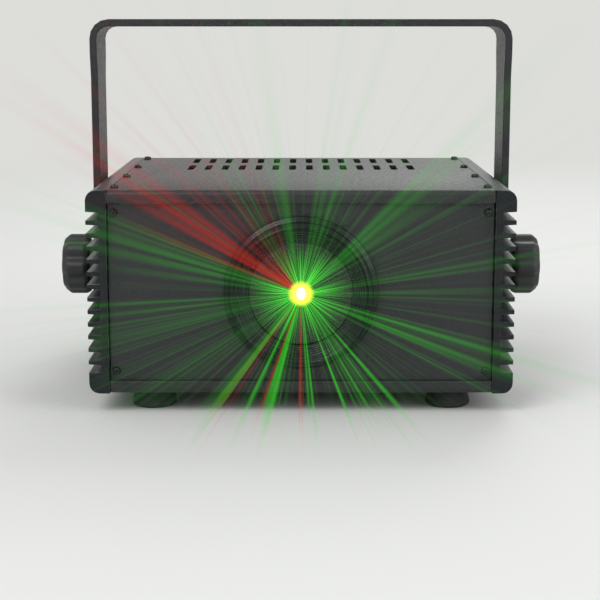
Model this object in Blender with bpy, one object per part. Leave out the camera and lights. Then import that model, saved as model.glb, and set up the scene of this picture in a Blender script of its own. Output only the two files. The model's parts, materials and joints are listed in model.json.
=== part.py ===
"""Laser effect projector: a finned housing with one front aperture, hung in a tilting yoke.

Metres, +Z up. The projector faces -Y and stands on its feet at z = 0, and the origin is the
middle of the bounding box's underside. Places on the two panels are measured from the optical
axis, which runs through the yoke's pivots, halfway up the housing.
"""
import math

import bmesh
import bpy
from mathutils import Matrix, Vector

# General clearances and facets
GAP = 0.0003
SEAT = 0.001
ROUND_STEPS = 28
SMALL_STEPS = 16
CORNER_STEPS = 4
FLAT_ANGLE = math.radians(35)

# Housing
INNER_WIDTH = 0.150
HOUSING_HEIGHT = 0.080
HOUSING_DEPTH = 0.150
SHEET = 0.0015
LIP_HEIGHT = 0.005
BEND_INNER_RADIUS = 0.0005
COVER_SLOT_LENGTH = 0.022
COVER_SLOT_WIDTH = 0.003
COVER_SLOT_PITCH = 0.0075
COVER_SLOT_COUNT = 14
COVER_SLOT_ROW_COUNT = 2
COVER_SLOT_ROW_PITCH = 0.034
COVER_SLOT_BACKSET = 0.008
SLOT_FLAT = 0.0002
TRAY_SLOT_COUNT = 6
TRAY_SLOT_BACKSET = 0.020

# Side cheeks, each an extrusion with fins outside and a thick base inside
CHEEK_WALL = 0.003
CHEEK_BASE = 0.0035
FIN_DEPTH = 0.005
FIN_TIP = 0.0016
FIN_GROOVE = 0.0034
FIN_TAPER = 0.0003
RAIL_HEIGHT = 0.006
RAIL_RADIUS = 0.004
BOSS_RADIUS = 0.013
BOSS_CLEARING = 0.0035

# Feet
FOOT_HEIGHT = 0.008
FOOT_RADIUS = 0.009
FOOT_TOP_RADIUS = 0.0075
FOOT_EDGE = 0.0012
FOOT_RECESS_RADIUS = 0.0035
FOOT_RECESS_DEPTH = 0.0045
FOOT_SIDE_INSET = 0.016
FOOT_END_INSET = 0.016

# Aperture
WINDOW_CLEAR_RADIUS = 0.020
WINDOW_RADIUS = 0.0235
WINDOW_THICKNESS = 0.002
SEAL_THICKNESS = 0.001
BEZEL_RADIUS = 0.030
BEZEL_DEPTH = 0.0085
BEZEL_FLARE_RADIUS = 0.0255
BEZEL_EDGE = 0.0015
BEZEL_FLANGE = 0.003
BEZEL_STEP = 0.002

# Yoke and its fixings
YOKE_WIDTH = 0.030
YOKE_THICKNESS = 0.003
YOKE_BEND_RADIUS = 0.008
YOKE_ARM_WIDTH = 0.026
YOKE_FLARE_DROP = 0.014
YOKE_FLARE_LENGTH = 0.010
YOKE_REACH = 0.102
CLAMP_HOLE_RADIUS = 0.0055
SIDE_HOLE_RADIUS = 0.0033
SIDE_HOLE_SPACING = 0.060
WASHER_THICKNESS = 0.0015
WASHER_RADIUS = 0.0115
STUD_RADIUS = 0.003
STUD_HOLE_CLEARANCE = 0.0003
STUD_REACH = 0.0068
KNOB_RADIUS = 0.013
KNOB_LENGTH = 0.0145
KNOB_LOBE = 0.0009
KNOB_LOBE_COUNT = 8
KNOB_EDGE = 0.002
KNOB_NECK_RADIUS = 0.0095
KNOB_NECK_LENGTH = 0.003
KNOB_DISH = 0.0012

# Optics
PLATE_THICKNESS = 0.003
PLATE_STANDOFF = 0.006
PLATE_POST_RADIUS = 0.004
PLATE_FRONT_MARGIN = 0.001
PLATE_DEPTH = 0.050
PLATE_HALF_WIDTH = 0.062
PLATE_POST_INSET = 0.006
TONGUE_DEPTH = 0.033
TONGUE_HALF_WIDTH = 0.021
WHEEL_OFFSET = 0.018
WHEEL_RADIUS = 0.028
WHEEL_RIM = 0.003
WHEEL_THICKNESS = 0.0024
WHEEL_WEB = 0.0008
WHEEL_HUB_RADIUS = 0.0045
WHEEL_HUB_LENGTH = 0.0045
WHEEL_PANEL_GAP = 0.004
WHEEL_SPACING = 0.0065
SHAFT_RADIUS = 0.001
SHAFT_CLEARANCE = 0.0003
SHAFT_DEPTH_IN_MOTOR = 0.007
BRACKET_GAP = 0.0045
BRACKET_THICKNESS = 0.0015
BRACKET_HALF_WIDTH = 0.034
BRACKET_HEIGHT_ABOVE_AXIS = 0.016
BRACKET_FOOT = 0.014
BEAM_HOLE_RADIUS = 0.006
MOTOR_RADIUS = 0.0115
MOTOR_LENGTH = 0.013
MOTOR_BOSS_RADIUS = 0.0035
MOTOR_BOSS_LENGTH = 0.0012
MOTOR_LUG_SPACING = 0.007
MOTOR_LUG_THICKNESS = 0.002
MOTOR_LUG_HEIGHT = 0.004
COMBINER_DISTANCE = 0.017
COMBINER_WIDTH = 0.016
COMBINER_HEIGHT = 0.014
COMBINER_THICKNESS = 0.0012
MOUNT_THICKNESS = 0.006
MOUNT_GRIP = 0.002
LASER_DISTANCE = 0.011
LASER_BARREL_RADIUS = 0.006
LASER_BARREL_LENGTH = 0.009
LASER_BLOCK_WIDTH = 0.030
LASER_BLOCK_LENGTH = 0.028
LASER_BLOCK_ABOVE_AXIS = 0.015
LASER_FIN_COUNT = 5
LASER_FIN_HEIGHT = 0.006
LASER_FIN_THICKNESS = 0.0022
LASER_BORE_RADIUS = 0.0018
LASER_BORE_DEPTH = 0.004

# Circuit boards
BOARD_THICKNESS = 0.0016
BOARD_STANDOFF = 0.005
BOARD_POST_RADIUS = 0.0025
BOARD_POST_INSET = 0.005
BOARD_WIDTH = 0.040
BOARD_LENGTH = 0.033
BOARD_SIDE_GAP = 0.0005
BOARD_REAR_GAP = 0.030
COMPONENT_EMBED = 0.0002
# On a board, from its corner: boxes as (x, y, width, depth, height), cans as (x, y, radius, height)
SUPPLY_BOXES = {
    "transformer": (0.010, 0.009, 0.016, 0.014, 0.015),
    "heat_sink": (0.029, 0.010, 0.002, 0.014, 0.018),
    "mains_filter": (0.010, 0.001, 0.012, 0.006, 0.008),
    "output_connector": (0.010, 0.0255, 0.014, 0.0065, 0.009),
}
SUPPLY_CANS = {
    "output_capacitor": (0.034, 0.017, 0.0025, 0.010),
    "start_capacitor": (0.006, 0.0165, 0.0025, 0.009),
    "mains_capacitor": (0.026, 0.005, 0.003, 0.012),
}
DRIVER_BOXES = {
    "controller_chip": (0.012, 0.012, 0.009, 0.009, 0.0016),
    "driver_chip": (0.024, 0.013, 0.006, 0.005, 0.0016),
    "green_laser_connector": (0.010, 0.001, 0.010, 0.0055, 0.007),
    "red_laser_connector": (0.022, 0.001, 0.0075, 0.0055, 0.007),
    "menu_connector": (0.010, 0.0265, 0.0125, 0.0055, 0.007),
    "transistor": (0.0335, 0.011, 0.002, 0.010, 0.012),
}
DRIVER_CANS = {
    "input_capacitor": (0.006, 0.015, 0.0025, 0.007),
    "motor_capacitor": (0.028, 0.026, 0.003, 0.008),
}

# Rear panel components: sizes of what fits through or seats on the panel
REAR_SIDE_MARGIN = 0.0017
FAN_SIZE = 0.040
FAN_DEPTH = 0.010
FAN_CORNER = 0.003
FAN_BORE_RADIUS = 0.0188
FAN_HOLE_SPACING = 0.032
FAN_HOLE_RADIUS = 0.0017
FAN_TIP_CLEARANCE = 0.0008
FAN_HUB_RADIUS = 0.008
FAN_BLADE_COUNT = 7
FAN_BLADE_THICKNESS = 0.0009
FAN_BLADE_ROOT_PITCH = math.radians(36.8)
FAN_BLADE_TIP_PITCH = math.radians(27.2)
FAN_BLADE_FILL = 0.8
FAN_BLADE_CAMBER = 0.06
FAN_BLADE_STATIONS = (-1, -0.3, 0.4, 1)
FAN_BLADE_STEPS = 4
FAN_STRUT_COUNT = 3
FAN_STRUT_WIDTH = 0.0022
FAN_STRUT_THICKNESS = 0.0018
FAN_AXLE_RADIUS = 0.0015
GUARD_WIRE = 0.0009
GUARD_SPOKE = 0.00085
GUARD_RINGS = (0.0065, 0.0115, 0.0165)
GUARD_EYE_RADIUS = 0.0026
GUARD_STANDOFF = 0.0012

XLR_WIDTH = 0.026
XLR_HEIGHT = 0.031
XLR_CORNER = 0.003
XLR_FLANGE = 0.002
XLR_BODY_RADIUS = 0.0117
XLR_BODY_DEPTH = 0.019
XLR_RECESS_RADIUS = 0.0093
XLR_RECESS_DEPTH = 0.015
XLR_PIN_RADIUS = 0.0012
XLR_PIN_CIRCLE = 0.0047
XLR_PIN_LENGTH = 0.0095
XLR_SOCKET_RADIUS = 0.0014
XLR_SOCKET_DEPTH = 0.007
XLR_FACE_INSET = 0.0012
XLR_SCREW_RADIUS = 0.0016
XLR_SCREW_ACROSS = 0.019
XLR_SCREW_UP = 0.024
LATCH_WIDTH = 0.006
LATCH_HEIGHT = 0.0024
LATCH_RISE = 0.0097
LATCH_STANDOUT = 0.0025
LATCH_DEPTH = 0.010
LATCH_TRAVEL = 0.0015

INLET_WIDTH = 0.028
INLET_HEIGHT = 0.031
INLET_CORNER = 0.003
INLET_FLANGE = 0.002
INLET_BODY_WIDTH = 0.0268
INLET_BODY_HEIGHT = 0.0298
INLET_DEPTH = 0.027
INLET_RECESS_WIDTH = 0.0236
INLET_RECESS_HEIGHT = 0.0156
INLET_RECESS_CHAMFER = 0.0045
INLET_RECESS_DEPTH = 0.016
INLET_RECESS_DROP = 0.0055
BLADE_WIDTH = 0.002
BLADE_HEIGHT = 0.004
BLADE_LENGTH = 0.0095
BLADE_SPACING = 0.014
BLADE_EARTH_RISE = 0.003
DRAWER_WIDTH = 0.019
DRAWER_HEIGHT = 0.0068
DRAWER_DEPTH = 0.024
DRAWER_RISE = 0.0088
DRAWER_FLOOR = 0.0008
DRAWER_END_WALL = 0.0015
DRAWER_LIP = 0.0016
DRAWER_LIP_MARGIN = 0.0012
FUSE_RADIUS = 0.0026
FUSE_GLASS_RADIUS = 0.0024
FUSE_CAP_LENGTH = 0.005
FUSE_LENGTH = 0.020

ROCKER_FLANGE_WIDTH = 0.015
ROCKER_FLANGE_HEIGHT = 0.021
ROCKER_FLANGE = 0.0018
ROCKER_CORNER = 0.0018
ROCKER_BODY_WIDTH = 0.0122
ROCKER_BODY_HEIGHT = 0.0184
ROCKER_BODY_DEPTH = 0.013
ROCKER_WIDTH = 0.0092
ROCKER_HALF_HEIGHT = 0.0068
ROCKER_TILT = math.radians(9)
ROCKER_THICKNESS = 0.0045
ROCKER_CREST = 0.0012
ROCKER_CREST_SHARE = 0.35
ROCKER_ROOT = 0.0025
ROCKER_ROOT_SHARE = 0.6
ROCKER_PIVOT_INSET = 0.0015
ROCKER_AXLE_RADIUS = 0.001
ROCKER_AXLE_LENGTH = 0.0007
ROCKER_WELL_DEPTH = 0.009
ROCKER_CLEARANCE = 0.0004

POT_BODY_RADIUS = 0.0075
POT_BODY_DEPTH = 0.008
POT_SHAFT_DEPTH = 0.0056
POT_BUSH_RADIUS = 0.0035
POT_NUT_RADIUS = 0.0055
POT_NUT_THICKNESS = 0.002
DIAL_RADIUS = 0.0065
DIAL_HEIGHT = 0.011
DIAL_TOP_RADIUS = 0.0055
DIAL_SKIRT = 0.001
DIAL_EDGE = 0.001
DIAL_RIB_COUNT = 12
DIAL_RIB_DEPTH = 0.0004
DIAL_SHAFT_RADIUS = 0.0022
DIAL_POINTER_WIDTH = 0.0011
DIAL_POINTER_DEPTH = 0.0006
CONTROL_SPACING = 0.0175

KEY_FLANGE_RADIUS = 0.009
KEY_FLANGE = 0.003
KEY_EDGE = 0.001
KEY_BARREL_RADIUS = 0.006
KEY_BARREL_DEPTH = 0.018
KEY_NUT_RADIUS = 0.0085
KEY_NUT_THICKNESS = 0.003
KEY_PLUG_RADIUS = 0.004
KEY_PLUG_DEPTH = 0.012
KEY_THICKNESS = 0.002
KEY_BLADE_WIDTH = 0.0052
KEY_BLADE_DEPTH = 0.009
KEY_SHOULDER = 0.004
KEY_BOW_RADIUS = 0.0075
KEY_BOW_FLAT = 0.001
KEY_HOLE_RADIUS = 0.0022

DISPLAY_WIDTH = 0.025
DISPLAY_HEIGHT = 0.011
DISPLAY_THICKNESS = 0.002
DISPLAY_CLEARANCE = 0.0003
BUTTON_COUNT = 4
BUTTON_PITCH = 0.0072
BUTTON_RADIUS = 0.0022
BUTTON_STANDOUT = 0.0016
BUTTON_FLANGE = 0.001
BUTTON_FLANGE_MARGIN = 0.0008
BUTTON_STEM = 0.0012
BUTTON_TRAVEL = 0.0008
BUTTON_HOLE_CLEARANCE = 0.0003
MENU_BOARD_GAP = 0.007
MENU_GROUP_WIDTH = 0.030
MENU_GROUP_HEIGHT = 0.026
MENU_BOARD_MARGIN = 0.001
DISPLAY_ROW = 0.0065
BUTTON_ROW = 0.0085
MIC_RADIUS = 0.0030
MIC_DEPTH = 0.005
MIC_DROP = 0.0265
MIC_PORT_RADIUS = 0.0012

EYE_WIDTH = 0.020
EYE_REACH = 0.016
EYE_THICKNESS = 0.003
EYE_LEG_HEIGHT = 0.009
EYE_HOLE_RADIUS = 0.0042
EYE_RISE = 0.0225

# Places that follow from the sizes
BOTTOM_Z = FOOT_HEIGHT
TOP_Z = BOTTOM_Z + HOUSING_HEIGHT
AXIS_Z = BOTTOM_Z + HOUSING_HEIGHT / 2
INNER_X = INNER_WIDTH / 2
WALL_X = INNER_X + CHEEK_WALL
FIN_X = WALL_X + FIN_DEPTH
WASHER_X = FIN_X + GAP
YOKE_X = WASHER_X + WASHER_THICKNESS + GAP
KNOB_X = YOKE_X + YOKE_THICKNESS + GAP
PANEL_RECESS = SHEET + GAP
KEY_REACH = KEY_SHOULDER + 2 * KEY_BOW_RADIUS - KEY_BOW_FLAT
FRONT_REACH = BEZEL_DEPTH + GAP - PANEL_RECESS
REAR_REACH = GAP + KEY_FLANGE + GAP + KEY_REACH - PANEL_RECESS
HOUSING_Y = (FRONT_REACH - REAR_REACH) / 2
FRONT_Y = HOUSING_Y - HOUSING_DEPTH / 2
BACK_Y = HOUSING_Y + HOUSING_DEPTH / 2
FACE_Y = FRONT_Y + PANEL_RECESS
FACE_IN_Y = FACE_Y + SHEET
REAR_Y = BACK_Y - PANEL_RECESS
REAR_IN_Y = REAR_Y - SHEET
TRAY_TOP_Z = BOTTOM_Z + SHEET
PLATE_Z = TRAY_TOP_Z + GAP + PLATE_STANDOFF
PLATE_TOP_Z = PLATE_Z + PLATE_THICKNESS
WHEEL_FRONT_Y = FACE_IN_Y + WHEEL_PANEL_GAP
WHEEL_REAR_Y = WHEEL_FRONT_Y + WHEEL_SPACING
BRACKET_Y = WHEEL_REAR_Y + WHEEL_THICKNESS + BRACKET_GAP
PLATE_FRONT_Y = BRACKET_Y - PLATE_FRONT_MARGIN
MOTOR_Y = BRACKET_Y + BRACKET_THICKNESS + GAP
COMBINER_Y = MOTOR_Y + MOTOR_LENGTH + COMBINER_DISTANCE
LASER_Y = COMBINER_Y + LASER_DISTANCE

COLOURS = {
    "powder_black": ((0.018, 0.018, 0.020), 0.55, 0.3),
    "fin_black": ((0.022, 0.022, 0.024), 0.42, 0.8),
    "aluminium": ((0.62, 0.63, 0.65), 0.35, 1.0),
    "steel": ((0.55, 0.56, 0.58), 0.3, 1.0),
    "rubber": ((0.02, 0.02, 0.02), 0.85, 0.0),
    "black_plastic": ((0.025, 0.025, 0.027), 0.4, 0.0),
    "window_glass": ((0.75, 0.95, 0.35), 0.05, 0.0),
    "grating_film": ((0.8, 0.85, 0.9), 0.15, 0.0),
    "board_green": ((0.02, 0.16, 0.06), 0.5, 0.0),
    "brass": ((0.7, 0.5, 0.2), 0.3, 1.0),
    "zinc": ((0.5, 0.5, 0.52), 0.35, 1.0),
    "display_lens": ((0.08, 0.01, 0.01), 0.1, 0.0),
    "glass": ((0.85, 0.9, 0.9), 0.05, 0.0),
}


def clear_scene():
    """Remove every object of the opened file."""
    for item in list(bpy.data.objects):
        bpy.data.objects.remove(item)


def make_materials():
    """One Principled material for each colour name."""
    made = {}
    for name, (colour, roughness, metallic) in COLOURS.items():
        material = bpy.data.materials.new(name)
        material.use_nodes = True
        shader = material.node_tree.nodes["Principled BSDF"]
        shader.inputs["Base Color"].default_value = (*colour, 1)
        shader.inputs["Roughness"].default_value = roughness
        shader.inputs["Metallic"].default_value = metallic
        made[name] = material
    return made


def place(axis, across, up, along):
    """A point: its two coordinates across an axis, in X, Y, Z order, and the one along it."""
    return {"X": (along, across, up), "Y": (across, along, up), "Z": (across, up, along)}[axis]


def arc(centre, radius, start, end, steps=CORNER_STEPS):
    """Points of an arc, its angles in degrees."""
    angles = [math.radians(start + (end - start) * step / steps) for step in range(steps + 1)]
    return [(centre[0] + radius * math.cos(a), centre[1] + radius * math.sin(a)) for a in angles]


def circle(centre, radius, steps=SMALL_STEPS):
    """Points of a full circle."""
    return arc(centre, radius, 0, 360 * (steps - 1) / steps, steps - 1)


def rounded_rectangle(centre, width, height, radius, steps=CORNER_STEPS):
    """Outline of a rectangle with round corners."""
    across = width / 2 - radius
    up = height / 2 - radius
    corners = ((across, up, 0), (-across, up, 90), (-across, -up, 180), (across, -up, 270))
    points = []
    for dx, dy, start in corners:
        points += arc((centre[0] + dx, centre[1] + dy), radius, start, start + 90, steps)
    return points


def rectangle(centre, width, height):
    """Outline of a plain rectangle."""
    x, y = centre
    right, top = width / 2, height / 2
    return [(x - right, y - top), (x + right, y - top), (x + right, y + top), (x - right, y + top)]


def slot(centre, width, height):
    """Outline of an upright slot with round ends."""
    return rounded_rectangle(centre, width, height, width / 2 - SLOT_FLAT, 2)


def outward(mesh):
    """Turn the faces outwards and hand the mesh back."""
    bmesh.ops.recalc_face_normals(mesh, faces=mesh.faces)
    return mesh


def prism(outline, low, high, axis):
    """An outline across an axis, extruded from low to high along it."""
    mesh = bmesh.new()
    face = mesh.faces.new([mesh.verts.new(place(axis, u, v, low)) for u, v in outline])
    grown = bmesh.ops.extrude_face_region(mesh, geom=[face])["geom"]
    moved = [item for item in grown if isinstance(item, bmesh.types.BMVert)]
    bmesh.ops.translate(mesh, verts=moved, vec=place(axis, 0, 0, high - low))
    return outward(mesh)


def block(low, high):
    """A box between two corners."""
    size = Vector(high) - Vector(low)
    middle = (Vector(high) + Vector(low)) / 2
    mesh = bmesh.new()
    bmesh.ops.create_cube(mesh, size=1)
    mesh.transform(Matrix.Translation(middle) @ Matrix.Diagonal((*size, 1)))
    return mesh


def turned(profile, centre, axis, steps=ROUND_STEPS):
    """A solid of revolution from (radius, distance along the axis) points."""
    mesh = bmesh.new()
    verts = [mesh.verts.new((radius, 0, along)) for radius, along in profile]
    pairs = list(zip(verts, verts[1:]))
    if profile[0][0] > 0:
        pairs.append((verts[-1], verts[0]))
    edges = [mesh.edges.new(pair) for pair in pairs]
    bmesh.ops.spin(mesh, geom=verts + edges, cent=(0, 0, 0), axis=(0, 0, 1), dvec=(0, 0, 0),
                   angle=math.tau, steps=steps, use_merge=True)
    bmesh.ops.remove_doubles(mesh, verts=mesh.verts, dist=1e-6)
    turn = {"X": Matrix.Rotation(math.radians(90), 4, "Y"),
            "Y": Matrix.Rotation(math.radians(-90), 4, "X"),
            "Z": Matrix.Identity(4)}[axis]
    mesh.transform(Matrix.Translation(centre) @ turn)
    return outward(mesh)


def rod(centre, radius, low, high, axis, steps=SMALL_STEPS):
    """A cylinder about a point across an axis."""
    return prism(circle(centre, radius, steps), low, high, axis)


def gathered(meshes):
    """Several separate meshes as one."""
    whole = bmesh.new()
    for mesh in meshes:
        carrier = bpy.data.meshes.new("carrier")
        mesh.to_mesh(carrier)
        whole.from_mesh(carrier)
        bpy.data.meshes.remove(carrier)
        mesh.free()
    return whole


def new_object(name, mesh, origin=(0, 0, 0)):
    """An object whose origin lies at a point, its mesh staying where it was built."""
    mesh.transform(Matrix.Translation(-Vector(origin)))
    data = bpy.data.meshes.new(name)
    mesh.to_mesh(data)
    mesh.free()
    data.shade_smooth()
    data.set_sharp_from_angle(angle=FLAT_ANGLE)
    item = bpy.data.objects.new(name, data)
    item.location = origin
    bpy.context.scene.collection.objects.link(item)
    return item


def fused(mesh):
    """A step that fuses a mesh to a piece."""
    return "UNION", mesh


def cut(mesh):
    """A step that cuts a mesh away from a piece."""
    return "DIFFERENCE", mesh


def kept_within(mesh):
    """A step that keeps only what lies inside a mesh."""
    return "INTERSECT", mesh


def solid(name, material, base, steps=(), origin=(0, 0, 0)):
    """One named piece: a base mesh and the steps that finish it, in order."""
    item = new_object(name, base, origin)
    item.data.materials.append(MATERIALS[material])
    for number, (operation, mesh) in enumerate(steps):
        helper = new_object(f"{name}_step_{number}", mesh)
        helper.hide_render = True
        helper.display_type = "WIRE"
        modifier = item.modifiers.new(operation.title(), "BOOLEAN")
        modifier.operation = operation
        modifier.solver = "EXACT"
        modifier.object = helper
    return item


def spread(widths, span, margin=None):
    """Centres of pieces of given widths over a span: equal gaps, with a given margin at the ends."""
    if margin is None:
        margin = (span - sum(widths)) / (len(widths) + 1)
    gap = (span - 2 * margin - sum(widths)) / (len(widths) - 1)
    centres = []
    edge = margin - span / 2
    for width in widths:
        centres.append(edge + width / 2)
        edge += width + gap
    return centres


def fluted(rings, lobes, centre, axis, steps):
    """A solid through rings of (radius, distance along the axis, lobe depth), closed flat."""
    mesh = bmesh.new()
    loops = []
    for radius, along, lobe in rings:
        verts = []
        for step in range(steps):
            angle = math.tau * step / steps
            reach = radius + lobe * math.cos(lobes * angle)
            across = centre[0] + reach * math.cos(angle)
            up = centre[1] + reach * math.sin(angle)
            verts.append(mesh.verts.new(place(axis, across, up, along)))
        loops.append(verts)
    edges = [[mesh.edges.new((a, b)) for a, b in zip(v, v[1:] + v[:1])] for v in loops]
    for lower, upper in zip(edges, edges[1:]):
        bmesh.ops.bridge_loops(mesh, edges=lower + upper)
    mesh.faces.new(loops[0])
    mesh.faces.new(loops[-1])
    return outward(mesh)


def strut(start, end, radius, steps=6):
    """A round bar between two points."""
    start, end = Vector(start), Vector(end)
    mesh = bmesh.new()
    bmesh.ops.create_cone(mesh, cap_ends=True, segments=steps, radius1=radius, radius2=radius,
                          depth=(end - start).length)
    turn = Vector((0, 0, 1)).rotation_difference(end - start).to_matrix().to_4x4()
    mesh.transform(Matrix.Translation((start + end) / 2) @ turn)
    return mesh


def turned_about(mesh, centre, angle, axis="Z"):
    """The mesh turned by an angle about a point."""
    there = Matrix.Translation(centre)
    mesh.transform(there @ Matrix.Rotation(angle, 4, axis) @ there.inverted())
    return mesh


def channel(lip_side):
    """Folded sheet seen from the side: a flat web with a lip at each end.

    The outline is in Y and Z about the web's outer face, and the lips point to lip_side in Z.
    """
    half = HOUSING_DEPTH / 2
    outer = BEND_INNER_RADIUS + SHEET
    inner = BEND_INNER_RADIUS
    left = -half + outer
    right = half - outer
    outline = [(-half, LIP_HEIGHT)]
    outline += arc((left, outer), outer, 180, 270)
    outline += arc((right, outer), outer, 270, 360)
    outline += [(half, LIP_HEIGHT), (half - SHEET, LIP_HEIGHT)]
    outline += arc((right, outer), inner, 360, 270, 2)
    outline += arc((left, outer), inner, 270, 180, 2)
    outline.append((-half + SHEET, LIP_HEIGHT))
    web_z = BOTTOM_Z if lip_side > 0 else TOP_Z
    return [(HOUSING_Y + y, web_z + lip_side * z) for y, z in outline]


def slot_field(first_y, rows, row_pitch, count, low, high):
    """Rows of slots that run front to back, cut through a level sheet."""
    slots = []
    for row in range(rows):
        middle_y = first_y - row * row_pitch
        for index in range(count):
            x = (index - (count - 1) / 2) * COVER_SLOT_PITCH
            outline = slot((x, middle_y), COVER_SLOT_WIDTH, COVER_SLOT_LENGTH)
            slots.append(prism(outline, low, high, "Z"))
    return gathered(slots)


def foot_places():
    """Centres of the four feet."""
    x = INNER_X - FOOT_SIDE_INSET
    y = HOUSING_DEPTH / 2 - FOOT_END_INSET
    return [(side * x, HOUSING_Y + end * y) for end in (-1, 1) for side in (-1, 1)]


def make_shell():
    """The folded tray and cover, and the four feet."""
    half = INNER_X - GAP
    slot_middle = BACK_Y - COVER_SLOT_LENGTH / 2
    solid("base_tray", "powder_black", prism(channel(1), -half, half, "X"), [
        cut(slot_field(slot_middle - TRAY_SLOT_BACKSET, 1, 0, TRAY_SLOT_COUNT,
                       BOTTOM_Z - SEAT, TRAY_TOP_Z + SEAT)),
    ])
    solid("top_cover", "powder_black", prism(channel(-1), -half, half, "X"), [
        cut(slot_field(slot_middle - COVER_SLOT_BACKSET, COVER_SLOT_ROW_COUNT, COVER_SLOT_ROW_PITCH,
                       COVER_SLOT_COUNT, TOP_Z - SHEET - SEAT, TOP_Z + SEAT)),
    ])
    profile = [(0, FOOT_RECESS_DEPTH), (FOOT_RECESS_RADIUS, FOOT_RECESS_DEPTH),
               (FOOT_RECESS_RADIUS, 0), (FOOT_RADIUS - FOOT_EDGE, 0), (FOOT_RADIUS, FOOT_EDGE),
               (FOOT_TOP_RADIUS, FOOT_HEIGHT - GAP), (0, FOOT_HEIGHT - GAP)]
    for number, (x, y) in enumerate(foot_places(), 1):
        solid(f"foot_{number}", "rubber", turned(profile, (x, y, 0), "Z", SMALL_STEPS + 4))


def cheek_outline(side):
    """The extrusion in X and Z: a flat inner face, round rails, and tapered fins between them."""
    rail_x = FIN_X - RAIL_RADIUS
    outline = [(INNER_X, BOTTOM_Z)]
    outline += arc((rail_x, BOTTOM_Z + RAIL_RADIUS), RAIL_RADIUS, 270, 360)
    finned = HOUSING_HEIGHT - 2 * RAIL_HEIGHT
    pitch = FIN_TIP + FIN_GROOVE
    grooves = int((finned + FIN_TIP) / pitch)
    start = AXIS_Z - (grooves * pitch - FIN_TIP) / 2
    for index in range(grooves):
        low = start + index * pitch
        high = low + FIN_GROOVE
        outline += [(FIN_X, low), (WALL_X, low + FIN_TAPER)]
        outline += [(WALL_X, high - FIN_TAPER), (FIN_X, high)]
    outline += arc((rail_x, TOP_Z - RAIL_RADIUS), RAIL_RADIUS, 0, 90)
    outline.append((INNER_X, TOP_Z))
    return [(side * x, z) for x, z in outline]


def make_cheek(name, side):
    """A finned side whose thick base carries tray and cover, and a tapped boss for the yoke."""
    pivot = (HOUSING_Y, AXIS_Z)
    base_x = INNER_X - CHEEK_BASE
    near, far = sorted((side * base_x, side * (INNER_X + SEAT)))
    base = block((near, FACE_IN_Y + GAP, TRAY_TOP_Z + GAP),
                 (far, REAR_IN_Y - GAP, TOP_Z - SHEET - GAP))
    clearing_low, clearing_high = sorted((side * WALL_X, side * (FIN_X + SEAT)))
    boss_low, boss_high = sorted((side * (WALL_X - SEAT), side * FIN_X))
    hole_low, hole_high = sorted((side * (base_x - SEAT), side * (FIN_X + SEAT)))
    solid(name, "fin_black", prism(cheek_outline(side), FRONT_Y, BACK_Y, "Y"), [
        fused(base),
        cut(rod(pivot, BOSS_RADIUS + BOSS_CLEARING, clearing_low, clearing_high, "X", ROUND_STEPS)),
        fused(rod(pivot, BOSS_RADIUS, boss_low, boss_high, "X", ROUND_STEPS)),
        cut(rod(pivot, STUD_RADIUS + STUD_HOLE_CLEARANCE, hole_low, hole_high, "X")),
    ])


def panel_outline():
    """The outline that both end panels share."""
    width = 2 * (INNER_X - GAP)
    height = HOUSING_HEIGHT - 2 * (SHEET + GAP)
    return rectangle((0, AXIS_Z), width, height)


def make_front():
    """The front panel with its aperture, the turned bezel, the window and its seal."""
    axis = (0, AXIS_Z)
    opening = rod(axis, WINDOW_CLEAR_RADIUS + BEZEL_EDGE, FACE_Y - SEAT, FACE_IN_Y + SEAT, "Y",
                  ROUND_STEPS)
    solid("front_panel", "powder_black", prism(panel_outline(), FACE_Y, FACE_IN_Y, "Y"),
          [cut(opening)])
    seat = 2 * GAP + WINDOW_THICKNESS + SEAL_THICKNESS
    rim = BEZEL_DEPTH
    profile = [(WINDOW_RADIUS + GAP, 0), (WINDOW_RADIUS + GAP, seat), (WINDOW_CLEAR_RADIUS, seat),
               (WINDOW_CLEAR_RADIUS, seat + BEZEL_EDGE), (BEZEL_FLARE_RADIUS, rim - BEZEL_EDGE / 2),
               (BEZEL_FLARE_RADIUS + BEZEL_EDGE / 2, rim),
               (BEZEL_RADIUS - BEZEL_STEP - BEZEL_EDGE, rim),
               (BEZEL_RADIUS - BEZEL_STEP, rim - BEZEL_EDGE),
               (BEZEL_RADIUS - BEZEL_STEP, BEZEL_FLANGE + BEZEL_EDGE),
               (BEZEL_RADIUS, BEZEL_FLANGE), (BEZEL_RADIUS, 0)]
    back = FACE_Y - GAP
    forward = [(radius, -along) for radius, along in profile]
    solid("aperture_bezel", "fin_black", turned(forward, (0, back, AXIS_Z), "Y", 40))
    seal = [(WINDOW_CLEAR_RADIUS + BEZEL_EDGE, 0), (WINDOW_RADIUS, 0),
            (WINDOW_RADIUS, -SEAL_THICKNESS), (WINDOW_CLEAR_RADIUS + BEZEL_EDGE, -SEAL_THICKNESS)]
    solid("window_seal", "rubber", turned(seal, (0, back, AXIS_Z), "Y"))
    window_back = back - SEAL_THICKNESS - GAP
    solid("aperture_window", "window_glass",
          rod(axis, WINDOW_RADIUS, window_back - WINDOW_THICKNESS, window_back, "Y", ROUND_STEPS))


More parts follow.
